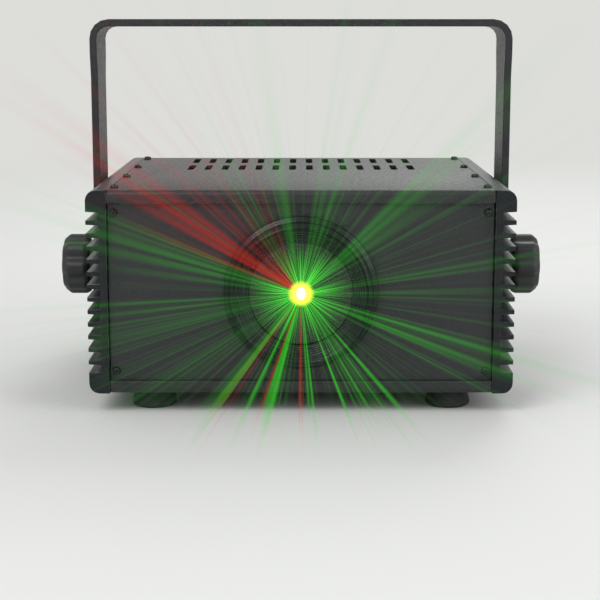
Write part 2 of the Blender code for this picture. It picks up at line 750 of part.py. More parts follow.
def make_yoke():
    """The bent strip bracket: a crossbar over the housing and two arms with round ends."""
    outer_x = YOKE_X + YOKE_THICKNESS
    top = AXIS_Z + YOKE_REACH + YOKE_THICKNESS
    end_radius = YOKE_ARM_WIDTH / 2
    foot = AXIS_Z - end_radius - SEAT
    outer_bend = YOKE_BEND_RADIUS
    inner_bend = YOKE_BEND_RADIUS - YOKE_THICKNESS
    bend_x = outer_x - outer_bend
    bend_z = top - outer_bend
    strip = [(outer_x, foot)]
    strip += arc((bend_x, bend_z), outer_bend, 0, 90)
    strip += arc((-bend_x, bend_z), outer_bend, 90, 180)
    strip += [(-outer_x, foot), (-YOKE_X, foot)]
    strip += arc((-bend_x, bend_z), inner_bend, 180, 90)
    strip += arc((bend_x, bend_z), inner_bend, 90, 0)
    strip.append((YOKE_X, foot))
    half = YOKE_WIDTH / 2
    flare_top = top - YOKE_FLARE_DROP
    silhouette = arc((0, AXIS_Z), end_radius, 180, 360, 12)
    silhouette += [(end_radius, flare_top - YOKE_FLARE_LENGTH), (half, flare_top),
                   (half, top + SEAT), (-half, top + SEAT), (-half, flare_top),
                   (-end_radius, flare_top - YOKE_FLARE_LENGTH)]
    silhouette = [(HOUSING_Y + y, z) for y, z in silhouette]
    reach = outer_x + SEAT
    holes = [rod((HOUSING_Y, AXIS_Z), STUD_RADIUS + STUD_HOLE_CLEARANCE, -reach, reach, "X")]
    bar = top - YOKE_THICKNESS - SEAT, top + SEAT
    holes.append(rod((0, HOUSING_Y), CLAMP_HOLE_RADIUS, *bar, "Z", 24))
    for side in (-1, 1):
        holes.append(rod((side * SIDE_HOLE_SPACING / 2, HOUSING_Y), SIDE_HOLE_RADIUS, *bar, "Z"))
    depth = half + SEAT
    solid("yoke_bracket", "powder_black", prism(strip, HOUSING_Y - depth, HOUSING_Y + depth, "Y"), [
        kept_within(prism(silhouette, -reach, reach, "X")),
        cut(gathered(holes)),
    ], origin=(0, HOUSING_Y, AXIS_Z))


def make_tilt_fixings(hand, side):
    """A friction washer between cheek and yoke, and the fluted knob whose stud clamps them."""
    pivot = (0, HOUSING_Y, AXIS_Z)
    bore = STUD_RADIUS + STUD_HOLE_CLEARANCE
    inner = side * WASHER_X
    outer = side * (WASHER_X + WASHER_THICKNESS)
    washer = [(bore, inner), (WASHER_RADIUS, inner), (WASHER_RADIUS, outer), (bore, outer)]
    solid(f"friction_washer_{hand}", "rubber", turned(washer, pivot, "X"))
    neck = KNOB_X + KNOB_NECK_LENGTH
    tip = KNOB_X + KNOB_LENGTH
    rings = [(KNOB_NECK_RADIUS, KNOB_X, 0), (KNOB_NECK_RADIUS, neck, 0),
             (KNOB_RADIUS - KNOB_LOBE - KNOB_EDGE / 2, neck + KNOB_EDGE / 4, KNOB_LOBE / 2),
             (KNOB_RADIUS - KNOB_LOBE, neck + KNOB_EDGE, KNOB_LOBE),
             (KNOB_RADIUS - KNOB_LOBE, tip - KNOB_EDGE, KNOB_LOBE),
             (KNOB_RADIUS - KNOB_LOBE - KNOB_EDGE / 2, tip - KNOB_EDGE / 4, KNOB_LOBE / 2),
             (KNOB_RADIUS - KNOB_LOBE - KNOB_EDGE, tip, 0),
             (KNOB_NECK_RADIUS / 2, tip - KNOB_DISH, 0)]
    rings = [(radius, side * x, lobe) for radius, x, lobe in rings]
    stud_low, stud_high = sorted((side * (FIN_X - STUD_REACH), side * (KNOB_X + SEAT)))
    solid(f"tilt_knob_{hand}", "black_plastic",
          fluted(rings, KNOB_LOBE_COUNT, (HOUSING_Y, AXIS_Z), "X", 5 * KNOB_LOBE_COUNT),
          [fused(rod((HOUSING_Y, AXIS_Z), STUD_RADIUS, stud_low, stud_high, "X"))],
          origin=pivot)


def make_optics_plate():
    """The plate that carries bracket, combiner and lasers, with a tongue and posts below."""
    waist_y = PLATE_FRONT_Y + PLATE_DEPTH
    back_y = waist_y + TONGUE_DEPTH
    wide = PLATE_HALF_WIDTH
    narrow = TONGUE_HALF_WIDTH
    outline = [(-wide, PLATE_FRONT_Y), (wide, PLATE_FRONT_Y), (wide, waist_y), (narrow, waist_y),
               (narrow, back_y), (-narrow, back_y), (-narrow, waist_y), (-wide, waist_y)]
    inset = PLATE_POST_INSET
    places = [(side * (wide - inset), PLATE_FRONT_Y + inset) for side in (-1, 1)]
    places += [(side * (wide - inset), waist_y - inset) for side in (-1, 1)]
    places.append((0, back_y - inset))
    posts = [rod(at, PLATE_POST_RADIUS, TRAY_TOP_Z + GAP, PLATE_Z + SEAT, "Z") for at in places]
    solid("optics_plate", "aluminium", prism(outline, PLATE_Z, PLATE_TOP_Z, "Z"),
          [fused(gathered(posts))])


def make_grating_bracket():
    """The bent bracket behind the wheels, with a seat for each motor and a hole for the beam."""
    low = PLATE_TOP_Z + GAP
    top = AXIS_Z + BRACKET_HEIGHT_ABOVE_AXIS
    bend = BRACKET_THICKNESS + BEND_INNER_RADIUS
    outline = arc((BRACKET_Y + bend, low + bend), bend, 180, 270)
    outline += [(BRACKET_Y + BRACKET_FOOT, low), (BRACKET_Y + BRACKET_FOOT, low + BRACKET_THICKNESS)]
    outline += arc((BRACKET_Y + bend, low + bend), BEND_INNER_RADIUS, 270, 180, 2)
    outline += [(BRACKET_Y + BRACKET_THICKNESS, top), (BRACKET_Y, top)]
    through = BRACKET_Y - SEAT, BRACKET_Y + BRACKET_THICKNESS + SEAT
    holes = [rod((0, AXIS_Z), BEAM_HOLE_RADIUS, *through, "Y", 24)]
    for side in (-1, 1):
        holes.append(rod((side * WHEEL_OFFSET, AXIS_Z), MOTOR_BOSS_RADIUS + GAP, *through, "Y"))
    solid("grating_bracket", "steel", prism(outline, -BRACKET_HALF_WIDTH, BRACKET_HALF_WIDTH, "X"),
          [cut(gathered(holes))])


def make_grating_drive(place_name, side, wheel_y):
    """One grating wheel on its shaft, and the motor behind the bracket that turns it."""
    centre = (side * WHEEL_OFFSET, AXIS_Z)
    axis_point = (centre[0], wheel_y, centre[1])
    bore = SHAFT_RADIUS + SHAFT_CLEARANCE
    profile = [(bore, 0), (bore, WHEEL_HUB_LENGTH), (WHEEL_HUB_RADIUS, WHEEL_HUB_LENGTH),
               (WHEEL_HUB_RADIUS, WHEEL_WEB), (WHEEL_RADIUS - WHEEL_RIM, WHEEL_WEB),
               (WHEEL_RADIUS - WHEEL_RIM, WHEEL_THICKNESS), (WHEEL_RADIUS, WHEEL_THICKNESS),
               (WHEEL_RADIUS, 0)]
    solid(f"grating_wheel_{place_name}", "grating_film", turned(profile, axis_point, "Y", 32),
          origin=axis_point)
    shaft_end = MOTOR_Y + SHAFT_DEPTH_IN_MOTOR
    solid(f"grating_shaft_{place_name}", "steel",
          rod(centre, SHAFT_RADIUS, wheel_y, shaft_end, "Y", 12), origin=axis_point)
    boss_front = MOTOR_Y - GAP - MOTOR_BOSS_LENGTH
    rear = MOTOR_Y + MOTOR_LENGTH
    lugs = []
    for lug_side in (-1, 1):
        x = centre[0] + lug_side * MOTOR_LUG_SPACING / 2
        lugs.append(block((x - MOTOR_LUG_THICKNESS / 2, rear - SEAT, AXIS_Z - MOTOR_LUG_HEIGHT / 2),
                          (x + MOTOR_LUG_THICKNESS / 2, rear + SEAT, AXIS_Z + MOTOR_LUG_HEIGHT / 2)))
    can = rod(centre, MOTOR_RADIUS, MOTOR_Y, rear, "Y", 24)
    solid(f"grating_motor_{place_name}", "steel", can, [
        fused(rod(centre, MOTOR_BOSS_RADIUS, boss_front, MOTOR_Y + SEAT, "Y")),
        fused(gathered(lugs)),
        cut(rod(centre, bore, boss_front - SEAT, shaft_end + SHAFT_CLEARANCE, "Y", 12)),
    ])


def make_laser(name, turn):
    """A laser module that looks at the combiner: a bored barrel on a finned block."""
    rear = LASER_Y + LASER_BARREL_LENGTH + LASER_BLOCK_LENGTH
    front = rear - LASER_BLOCK_LENGTH
    half = LASER_BLOCK_WIDTH / 2
    top = AXIS_Z + LASER_BLOCK_ABOVE_AXIS
    pitch = (LASER_BLOCK_WIDTH - LASER_FIN_THICKNESS) / (LASER_FIN_COUNT - 1)
    tip = top + LASER_FIN_HEIGHT
    section = [(-half, PLATE_TOP_Z + GAP), (half, PLATE_TOP_Z + GAP), (half, tip)]
    for index in reversed(range(1, LASER_FIN_COUNT)):
        right = index * pitch - half
        left = right - pitch + LASER_FIN_THICKNESS
        section += [(right, tip), (right, top), (left, top), (left, tip)]
    section.append((-half, tip))
    centre = (0, AXIS_Z)
    barrel = rod(centre, LASER_BARREL_RADIUS, LASER_Y, front + SEAT, "Y", 24)
    bore = rod(centre, LASER_BORE_RADIUS, LASER_Y - SEAT, LASER_Y + LASER_BORE_DEPTH, "Y", 12)
    pieces = [turned_about(mesh, (0, COMBINER_Y, 0), turn)
              for mesh in (prism(section, front, rear, "Y"), barrel, bore)]
    solid(name, "aluminium", pieces[0], [fused(pieces[1]), cut(pieces[2])])


def make_combiner():
    """The slanted glass that joins both beams, gripped along its lower edge by a slotted mount."""
    slant = math.radians(45)
    centre = (0, COMBINER_Y, 0)
    half = COMBINER_WIDTH / 2
    bottom = AXIS_Z - COMBINER_HEIGHT / 2
    glass = block((-half, COMBINER_Y - COMBINER_THICKNESS / 2, bottom),
                  (half, COMBINER_Y + COMBINER_THICKNESS / 2, bottom + COMBINER_HEIGHT))
    solid("combiner_mirror", "glass", turned_about(glass, centre, slant))
    edge = half + SEAT
    mount = block((-edge, COMBINER_Y - MOUNT_THICKNESS / 2, PLATE_TOP_Z + GAP),
                  (edge, COMBINER_Y + MOUNT_THICKNESS / 2, bottom + MOUNT_GRIP))
    groove_half = COMBINER_THICKNESS / 2 + GAP
    groove = block((-edge - SEAT, COMBINER_Y - groove_half, bottom - GAP),
                   (edge + SEAT, COMBINER_Y + groove_half, bottom + MOUNT_GRIP + SEAT))
    solid("mirror_mount", "aluminium", turned_about(mount, centre, slant),
          [cut(turned_about(groove, centre, slant))])


def board_parts(side):
    """The corner, board top and stand-off posts of a board beside the rear wall's parts."""
    far = INNER_X - CHEEK_BASE - BOARD_SIDE_GAP
    near = far - BOARD_WIDTH
    back = REAR_IN_Y - BOARD_REAR_GAP
    front = back - BOARD_LENGTH
    low_x, high_x = sorted((side * near, side * far))
    low_z = TRAY_TOP_Z + GAP + BOARD_STANDOFF
    inset = BOARD_POST_INSET
    posts = [rod((x, y), BOARD_POST_RADIUS, TRAY_TOP_Z + GAP, low_z + COMPONENT_EMBED, "Z", 8)
             for x in (low_x + inset, high_x - inset) for y in (front + inset, back - inset)]
    board = block((low_x, front, low_z), (high_x, back, low_z + BOARD_THICKNESS))
    return board, gathered(posts), (low_x, front, low_z + BOARD_THICKNESS)


def components(corner, boxes, cans):
    """The boxes and cans of a board, set on it."""
    x0, y0, z0 = corner
    low = z0 - COMPONENT_EMBED
    parts = [block((x0 + x, y0 + y, low), (x0 + x + width, y0 + y + depth, z0 + height))
             for x, y, width, depth, height in boxes.values()]
    parts += [rod((x0 + x, y0 + y), radius, low, z0 + height, "Z", 12)
              for x, y, radius, height in cans.values()]
    return gathered(parts)


def make_boards():
    """The power supply on the right and the driver on the left, each on four posts."""
    for name, side, boxes, cans in (("power_supply_board", 1, SUPPLY_BOXES, SUPPLY_CANS),
                                    ("driver_board", -1, DRIVER_BOXES, DRIVER_CANS)):
        board, posts, corner = board_parts(side)
        solid(name, "board_green", board, [fused(posts), fused(components(corner, boxes, cans))])


def rear_layout():
    """Centres of the rear panel's columns and rows, spread evenly over the free area."""
    widths = (MENU_GROUP_WIDTH, XLR_WIDTH, FAN_SIZE, INLET_WIDTH)
    menu_x, output_x, fan_x, inlet_x = spread(widths, INNER_WIDTH, CHEEK_BASE + REAR_SIDE_MARGIN)
    free_height = HOUSING_HEIGHT - 2 * LIP_HEIGHT
    lower, upper = spread((XLR_HEIGHT, MENU_GROUP_HEIGHT), free_height)
    lower_z = AXIS_Z + lower
    upper_z = AXIS_Z + upper
    return {
        "display": (menu_x, upper_z + DISPLAY_ROW),
        "buttons": (menu_x, upper_z - BUTTON_ROW),
        "menu_board": (menu_x, upper_z),
        "dmx_in": (menu_x, lower_z),
        "dmx_out": (output_x, lower_z),
        "key": (output_x, upper_z),
        "fan": (fan_x, AXIS_Z),
        "microphone": (fan_x, AXIS_Z - MIC_DROP),
        "eye": (fan_x, AXIS_Z + EYE_RISE),
        "inlet": (inlet_x, lower_z),
        "dial": (inlet_x - CONTROL_SPACING / 2, upper_z),
        "rocker": (inlet_x + CONTROL_SPACING / 2, upper_z),
    }


def button_places(layout):
    """Centres of the menu buttons, in a row under the display."""
    x, z = layout["buttons"]
    first = x - BUTTON_PITCH * (BUTTON_COUNT - 1) / 2
    return [(first + index * BUTTON_PITCH, z) for index in range(BUTTON_COUNT)]


def fan_corners(centre):
    """Centres of the fan's four screw holes."""
    reach = FAN_HOLE_SPACING / 2
    return [(centre[0] + side * reach, centre[1] + end * reach)
            for side in (-1, 1) for end in (-1, 1)]


def make_rear_panel(layout):
    """The rear panel with an opening for each part that passes through it."""
    fan = layout["fan"]
    outlines = [
        circle(fan, FAN_BORE_RADIUS - SEAT, ROUND_STEPS),
        circle(layout["dmx_in"], XLR_BODY_RADIUS + GAP, ROUND_STEPS),
        circle(layout["dmx_out"], XLR_BODY_RADIUS + GAP, ROUND_STEPS),
        circle(layout["key"], KEY_BARREL_RADIUS + GAP, 24),
        circle(layout["dial"], POT_BUSH_RADIUS + GAP),
        circle(layout["microphone"], MIC_PORT_RADIUS, 8),
        rectangle(layout["inlet"], INLET_BODY_WIDTH + 2 * GAP, INLET_BODY_HEIGHT + 2 * GAP),
        rectangle(layout["rocker"], ROCKER_BODY_WIDTH + 2 * GAP, ROCKER_BODY_HEIGHT + 2 * GAP),
        rectangle(layout["display"], DISPLAY_WIDTH + 2 * DISPLAY_CLEARANCE,
                  DISPLAY_HEIGHT + 2 * DISPLAY_CLEARANCE),
    ]
    button_hole = BUTTON_RADIUS + BUTTON_HOLE_CLEARANCE
    outlines += [circle(at, button_hole, 12) for at in button_places(layout)]
    outlines += [circle(at, FAN_HOLE_RADIUS, 8) for at in fan_corners(fan)]
    openings = [prism(outline, REAR_IN_Y - SEAT, REAR_Y + SEAT, "Y") for outline in outlines]
    solid("rear_panel", "powder_black", prism(panel_outline(), REAR_IN_Y, REAR_Y, "Y"),
          [cut(gathered(openings))])


def fan_blade(angle):
    """One twisted blade: thin sections from the hub to the tip, joined into a closed strip."""
    mesh = bmesh.new()
    tip = FAN_BORE_RADIUS - FAN_TIP_CLEARANCE
    root = FAN_HUB_RADIUS - SEAT / 2
    rotor_depth = FAN_DEPTH - FAN_STRUT_THICKNESS - 2 * SEAT
    loops = []
    for step in range(FAN_BLADE_STEPS + 1):
        share = step / FAN_BLADE_STEPS
        radius = root + (tip - root) * share
        pitch = FAN_BLADE_ROOT_PITCH + (FAN_BLADE_TIP_PITCH - FAN_BLADE_ROOT_PITCH) * share
        room = min(rotor_depth / math.sin(pitch), radius * math.tau / FAN_BLADE_COUNT)
        chord = room * FAN_BLADE_FILL
        section = []
        for face in (-1, 1):
            for station in FAN_BLADE_STATIONS[::-face]:
                camber = (1 - station ** 2) * chord * FAN_BLADE_CAMBER
                tangent = station * chord / 2
                normal = camber + face * FAN_BLADE_THICKNESS / 2
                around = tangent * math.cos(pitch) - normal * math.sin(pitch)
                along = tangent * math.sin(pitch) + normal * math.cos(pitch)
                section.append(mesh.verts.new((radius, along, around)))
        loops.append([mesh.edges.new((a, b)) for a, b in zip(section, section[1:] + section[:1])])
        if step in (0, FAN_BLADE_STEPS):
            mesh.faces.new(section)
    for inner, outer in zip(loops, loops[1:]):
        bmesh.ops.bridge_loops(mesh, edges=inner + outer)
    mesh.transform(Matrix.Rotation(angle, 4, "Y"))
    return outward(mesh)


def make_fan(layout):
    """The square fan frame with its stator, the bladed rotor, and the wire guard outside."""
    centre = layout["fan"]
    back = REAR_IN_Y - GAP
    front = back - FAN_DEPTH
    corners = fan_corners(centre)
    frame = prism(rounded_rectangle(centre, FAN_SIZE, FAN_SIZE, FAN_CORNER), front, back, "Y")
    bores = [rod(centre, FAN_BORE_RADIUS, front - SEAT, back + SEAT, "Y", ROUND_STEPS)]
    bores += [rod(at, FAN_HOLE_RADIUS, front - SEAT, back + SEAT, "Y", 8) for at in corners]
    stator_back = front + FAN_STRUT_THICKNESS
    struts = []
    half = FAN_STRUT_WIDTH / 2
    for number in range(FAN_STRUT_COUNT):
        arm = block((centre[0], front, centre[1] - half),
                    (centre[0] + FAN_BORE_RADIUS + SEAT / 2, stator_back, centre[1] + half))
        turn = math.tau * (number / FAN_STRUT_COUNT + 1 / 8)
        struts.append(turned_about(arm, (centre[0], 0, centre[1]), turn, "Y"))
    axle_end = back - 2 * SEAT
    solid("fan_frame", "black_plastic", frame, [
        cut(gathered(bores)),
        fused(rod(centre, FAN_HUB_RADIUS, front, stator_back, "Y", 24)),
        *[fused(arm) for arm in struts],
        fused(rod(centre, FAN_AXLE_RADIUS, stator_back - SEAT / 2, axle_end, "Y", 12)),
    ])
    hub_front = stator_back + GAP
    hub_back = back - SEAT
    hub = rod(centre, FAN_HUB_RADIUS, hub_front, hub_back, "Y", 28)
    middle = (centre[0], (hub_front + hub_back) / 2, centre[1])
    blades = gathered([fan_blade(math.tau * number / FAN_BLADE_COUNT)
                       for number in range(FAN_BLADE_COUNT)])
    blades.transform(Matrix.Translation(middle))
    solid("fan_rotor", "black_plastic", hub, [
        fused(blades),
        cut(rod(centre, FAN_AXLE_RADIUS + GAP, hub_front - SEAT, axle_end + GAP, "Y", 12)),
    ], origin=middle)
    make_fan_guard(centre, corners)


def make_fan_guard(centre, corners):
    """Wire rings welded to two crossed wires that end in screw eyes on the panel."""
    wire_y = REAR_Y + GAP + GUARD_WIRE
    ring_y = wire_y + GUARD_STANDOFF
    section = circle((0, 0), GUARD_WIRE, 5)
    rings = []
    for radius in GUARD_RINGS:
        profile = [(radius + across, along) for across, along in section]
        rings.append(turned(profile, (centre[0], ring_y, centre[1]), "Y", 20))
    spoke_start = min(GUARD_RINGS) - GUARD_WIRE / 2
    eye_edge = GUARD_EYE_RADIUS + GUARD_WIRE / 2
    eye = [(FAN_HOLE_RADIUS, -GUARD_WIRE), (eye_edge, -GUARD_WIRE),
           (eye_edge, GUARD_WIRE), (FAN_HOLE_RADIUS, GUARD_WIRE)]
    wires = []
    eyes = []
    for x, z in corners:
        outwards = Vector((x - centre[0], 0, z - centre[1]))
        length = outwards.length
        outwards.normalize()
        middle = Vector((centre[0], wire_y, centre[1]))
        end_reach = length - GUARD_EYE_RADIUS + GUARD_WIRE
        wires.append(strut(middle + outwards * spoke_start, middle + outwards * end_reach,
                           GUARD_SPOKE))
        eyes.append(turned(eye, (x, wire_y, z), "Y", 12))
    solid("fan_guard", "steel", rings[0], [
        fused(gathered(wires)),
        *[fused(ring) for ring in rings[1:]],
        fused(gathered(eyes)),
    ])


def xlr_shell(at):
    """The flange and the round body of a panel socket, and its screw holes."""
    front = REAR_Y + GAP
    back = REAR_IN_Y - XLR_BODY_DEPTH
    face = front + XLR_FLANGE
    flange = prism(rounded_rectangle(at, XLR_WIDTH, XLR_HEIGHT, XLR_CORNER), front, face, "Y")
    body = rod(at, XLR_BODY_RADIUS, back, front + XLR_FLANGE / 2, "Y", ROUND_STEPS)
    holes = []
    for side in (-1, 1):
        screw = (at[0] + side * XLR_SCREW_ACROSS / 2, at[1] - side * XLR_SCREW_UP / 2)
        holes.append(rod(screw, XLR_SCREW_RADIUS, front - SEAT, face + SEAT, "Y", 12))
    return flange, body, gathered(holes), face


def pin_places(at):
    """The three contacts: two level with the axis and one below it."""
    reach = XLR_PIN_CIRCLE
    return [(at[0] - reach, at[1]), (at[0] + reach, at[1]), (at[0], at[1] - reach)]


def make_dmx_sockets(layout):
    """The control input with pins in its recess, and the output with holes and a release latch."""
    at = layout["dmx_in"]
    flange, body, holes, face = xlr_shell(at)
    floor = face - XLR_RECESS_DEPTH
    pins = [rod(pin, XLR_PIN_RADIUS, floor - SEAT, floor + XLR_PIN_LENGTH, "Y", 8)
            for pin in pin_places(at)]
    solid("dmx_in", "zinc", flange, [
        fused(body),
        cut(holes),
        cut(rod(at, XLR_RECESS_RADIUS, floor, face + SEAT, "Y", 28)),
        fused(gathered(pins)),
    ])
    at = layout["dmx_out"]
    flange, body, holes, face = xlr_shell(at)
    insert = face - XLR_FACE_INSET
    sockets = [rod(pin, XLR_SOCKET_RADIUS, insert - XLR_SOCKET_DEPTH, face + SEAT, "Y", 8)
               for pin in pin_places(at)]
    latch_at = (at[0], at[1] + LATCH_RISE)
    notch_width = LATCH_WIDTH + 2 * GAP
    notch_height = LATCH_HEIGHT + 2 * GAP
    notch_floor = face - LATCH_DEPTH - LATCH_TRAVEL - GAP
    channel_top = at[1] + XLR_BODY_RADIUS + SEAT
    channel_low = latch_at[1] - notch_height / 2
    solid("dmx_out", "zinc", flange, [
        fused(body),
        cut(holes),
        cut(rod(at, LATCH_RISE - LATCH_HEIGHT / 2 - SEAT, insert, face + SEAT, "Y", 28)),
        cut(gathered(sockets)),
        cut(block((at[0] - notch_width / 2, notch_floor, channel_low),
                  (at[0] + notch_width / 2, REAR_Y + GAP / 2, channel_top))),
        cut(prism(rectangle(latch_at, notch_width, notch_height), REAR_IN_Y, face + SEAT, "Y")),
    ])
    latch = prism(rectangle(latch_at, LATCH_WIDTH, LATCH_HEIGHT), face - LATCH_DEPTH,
                  face + LATCH_STANDOUT, "Y")
    solid("dmx_latch", "zinc", latch, origin=(latch_at[0], face, latch_at[1]))


def make_mains_inlet(layout):
    """The mains inlet with its blades, the sliding fuse drawer above it, and the fuse."""
    x, z = layout["inlet"]
    front = REAR_Y + GAP
    face = front + INLET_FLANGE
    back = REAR_IN_Y - INLET_DEPTH
    body = prism(rectangle((x, z), INLET_BODY_WIDTH, INLET_BODY_HEIGHT), back, front + SEAT, "Y")
    recess_z = z - INLET_RECESS_DROP
    right, top = INLET_RECESS_WIDTH / 2, INLET_RECESS_HEIGHT / 2
    chamfer = INLET_RECESS_CHAMFER
    recess = [(x - right, recess_z - top), (x + right, recess_z - top),
              (x + right, recess_z + top - chamfer), (x + right - chamfer, recess_z + top),
              (x - right + chamfer, recess_z + top), (x - right, recess_z + top - chamfer)]
    floor = face - INLET_RECESS_DEPTH
    blade_places = [(x - BLADE_SPACING / 2, recess_z - BLADE_EARTH_RISE / 2),
                    (x + BLADE_SPACING / 2, recess_z - BLADE_EARTH_RISE / 2),
                    (x, recess_z + BLADE_EARTH_RISE)]
    blades = [prism(rectangle(at, BLADE_WIDTH, BLADE_HEIGHT), floor - SEAT, floor + BLADE_LENGTH, "Y")
              for at in blade_places]
    drawer_at = (x, z + DRAWER_RISE)
    drawer_slot = prism(rectangle(drawer_at, DRAWER_WIDTH + 2 * GAP, DRAWER_HEIGHT + 2 * GAP),
                        face - DRAWER_DEPTH - GAP, face + SEAT, "Y")
    solid("mains_inlet", "black_plastic",
          prism(rounded_rectangle((x, z), INLET_WIDTH, INLET_HEIGHT, INLET_CORNER), front, face, "Y"), [
              fused(body),
              cut(prism(recess, floor, face + SEAT, "Y")),
              fused(gathered(blades)),
              cut(drawer_slot),
          ])
    drawer_front = face + GAP
    drawer_back = face - DRAWER_DEPTH
    lip_outline = rectangle(drawer_at, DRAWER_WIDTH + 2 * DRAWER_LIP_MARGIN,
                            DRAWER_HEIGHT + 2 * DRAWER_LIP_MARGIN)
    lip = prism(lip_outline, drawer_front, drawer_front + DRAWER_LIP, "Y")
    bed = drawer_at[1] - DRAWER_HEIGHT / 2 + DRAWER_FLOOR
    trough_half = FUSE_RADIUS + GAP
    trough_back = drawer_back + DRAWER_END_WALL
    trough_front = trough_back + FUSE_LENGTH + 2 * GAP
    trough = block((x - trough_half, trough_back, bed),
                   (x + trough_half, trough_front, drawer_at[1] + DRAWER_HEIGHT))
    solid("fuse_drawer", "black_plastic",
          prism(rectangle(drawer_at, DRAWER_WIDTH, DRAWER_HEIGHT), drawer_back, drawer_front + SEAT, "Y"),
          [fused(lip), cut(trough)], origin=(x, face, drawer_at[1]))
    far_cap = FUSE_LENGTH - FUSE_CAP_LENGTH
    fuse_profile = [(0, 0), (FUSE_RADIUS, 0), (FUSE_RADIUS, FUSE_CAP_LENGTH),
                    (FUSE_GLASS_RADIUS, FUSE_CAP_LENGTH), (FUSE_GLASS_RADIUS, far_cap),
                    (FUSE_RADIUS, far_cap), (FUSE_RADIUS, FUSE_LENGTH), (0, FUSE_LENGTH)]
    fuse_at = (x, trough_back + GAP, bed + GAP + FUSE_RADIUS)
    solid("glass_fuse", "glass", turned(fuse_profile, fuse_at, "Y", 12), origin=fuse_at)


def make_power_switch(layout):
    """The switch frame with its well, and the rocker that rests tilted on its two stub axles."""
    x, z = layout["rocker"]
    front = REAR_Y + GAP
    face = front + ROCKER_FLANGE
    pivot = (x, face - ROCKER_PIVOT_INSET, z)
    swept = ROCKER_HALF_HEIGHT * math.cos(ROCKER_TILT) + ROCKER_THICKNESS * math.sin(ROCKER_TILT)
    well_half = swept + ROCKER_CLEARANCE
    well_side = ROCKER_WIDTH / 2 + ROCKER_CLEARANCE
    body = prism(rectangle((x, z), ROCKER_BODY_WIDTH, ROCKER_BODY_HEIGHT),
                 REAR_IN_Y - ROCKER_BODY_DEPTH, front + SEAT, "Y")
    well = block((x - well_side, face - ROCKER_WELL_DEPTH, z - well_half),
                 (x + well_side, face + SEAT, z + well_half))
    axle_reach = ROCKER_WIDTH / 2 + ROCKER_AXLE_LENGTH
    socket_reach = axle_reach + GAP
    sockets = rod(pivot[1:], ROCKER_AXLE_RADIUS + GAP, x - socket_reach, x + socket_reach, "X", 12)
    outline = rounded_rectangle((x, z), ROCKER_FLANGE_WIDTH, ROCKER_FLANGE_HEIGHT, ROCKER_CORNER)
    solid("power_switch_frame", "black_plastic", prism(outline, front, face, "Y"),
          [fused(body), cut(well), cut(sockets)])
    half = ROCKER_HALF_HEIGHT
    crest = half * ROCKER_CREST_SHARE
    root = half * ROCKER_ROOT_SHARE
    outline = [(ROCKER_THICKNESS, -half), (ROCKER_THICKNESS - ROCKER_CREST, -crest),
               (ROCKER_THICKNESS - ROCKER_CREST, crest), (ROCKER_THICKNESS, half), (0, half),
               (-ROCKER_ROOT, root), (-ROCKER_ROOT, -root), (0, -half)]
    outline = [(pivot[1] + y, z + up) for y, up in outline]
    tilted = prism(outline, x - ROCKER_WIDTH / 2, x + ROCKER_WIDTH / 2, "X")
    axles = rod(pivot[1:], ROCKER_AXLE_RADIUS, x - axle_reach, x + axle_reach, "X", 12)
    for mesh in (tilted, axles):
        turned_about(mesh, pivot, ROCKER_TILT, "X")
    solid("power_rocker", "black_plastic", tilted, [fused(axles)], origin=pivot)


def make_dial(layout):
    """The sensitivity control: its body and bushing, and the ribbed dial with a pointer groove."""
    x, z = at = layout["dial"]
    back = REAR_IN_Y - GAP
    nut_face = REAR_Y + GAP + POT_NUT_THICKNESS
    nut = prism(circle(at, POT_NUT_RADIUS, 6), REAR_Y + GAP, nut_face, "Y")
    shaft_end = back - POT_SHAFT_DEPTH
    body = rod(at, POT_BODY_RADIUS, back - POT_BODY_DEPTH, back, "Y", 24)
    solid("sensitivity_pot", "brass", body, [
        fused(rod(at, POT_BUSH_RADIUS, back - SEAT, nut_face, "Y")),
        fused(nut),
        cut(rod(at, DIAL_SHAFT_RADIUS + GAP, shaft_end - GAP, nut_face + SEAT, "Y", 12)),
    ])
    base = nut_face + GAP
    tip = base + DIAL_HEIGHT
    rings = [(DIAL_RADIUS, base, 0), (DIAL_RADIUS, base + DIAL_SKIRT, 0),
             (DIAL_TOP_RADIUS + DIAL_SKIRT / 2, base + 2 * DIAL_SKIRT, DIAL_RIB_DEPTH),
             (DIAL_TOP_RADIUS, tip - DIAL_EDGE, DIAL_RIB_DEPTH), (DIAL_TOP_RADIUS - DIAL_EDGE, tip, 0)]
    pointer = block((x - DIAL_POINTER_WIDTH / 2, tip - DIAL_POINTER_DEPTH, z),
                    (x + DIAL_POINTER_WIDTH / 2, tip + SEAT, z + DIAL_RADIUS))
    solid("sensitivity_dial", "black_plastic", fluted(rings, DIAL_RIB_COUNT, at, "Y", 4 * DIAL_RIB_COUNT), [
        fused(rod(at, DIAL_SHAFT_RADIUS, shaft_end, base + SEAT, "Y", 12)),
        cut(pointer),
    ], origin=(x, base, z))


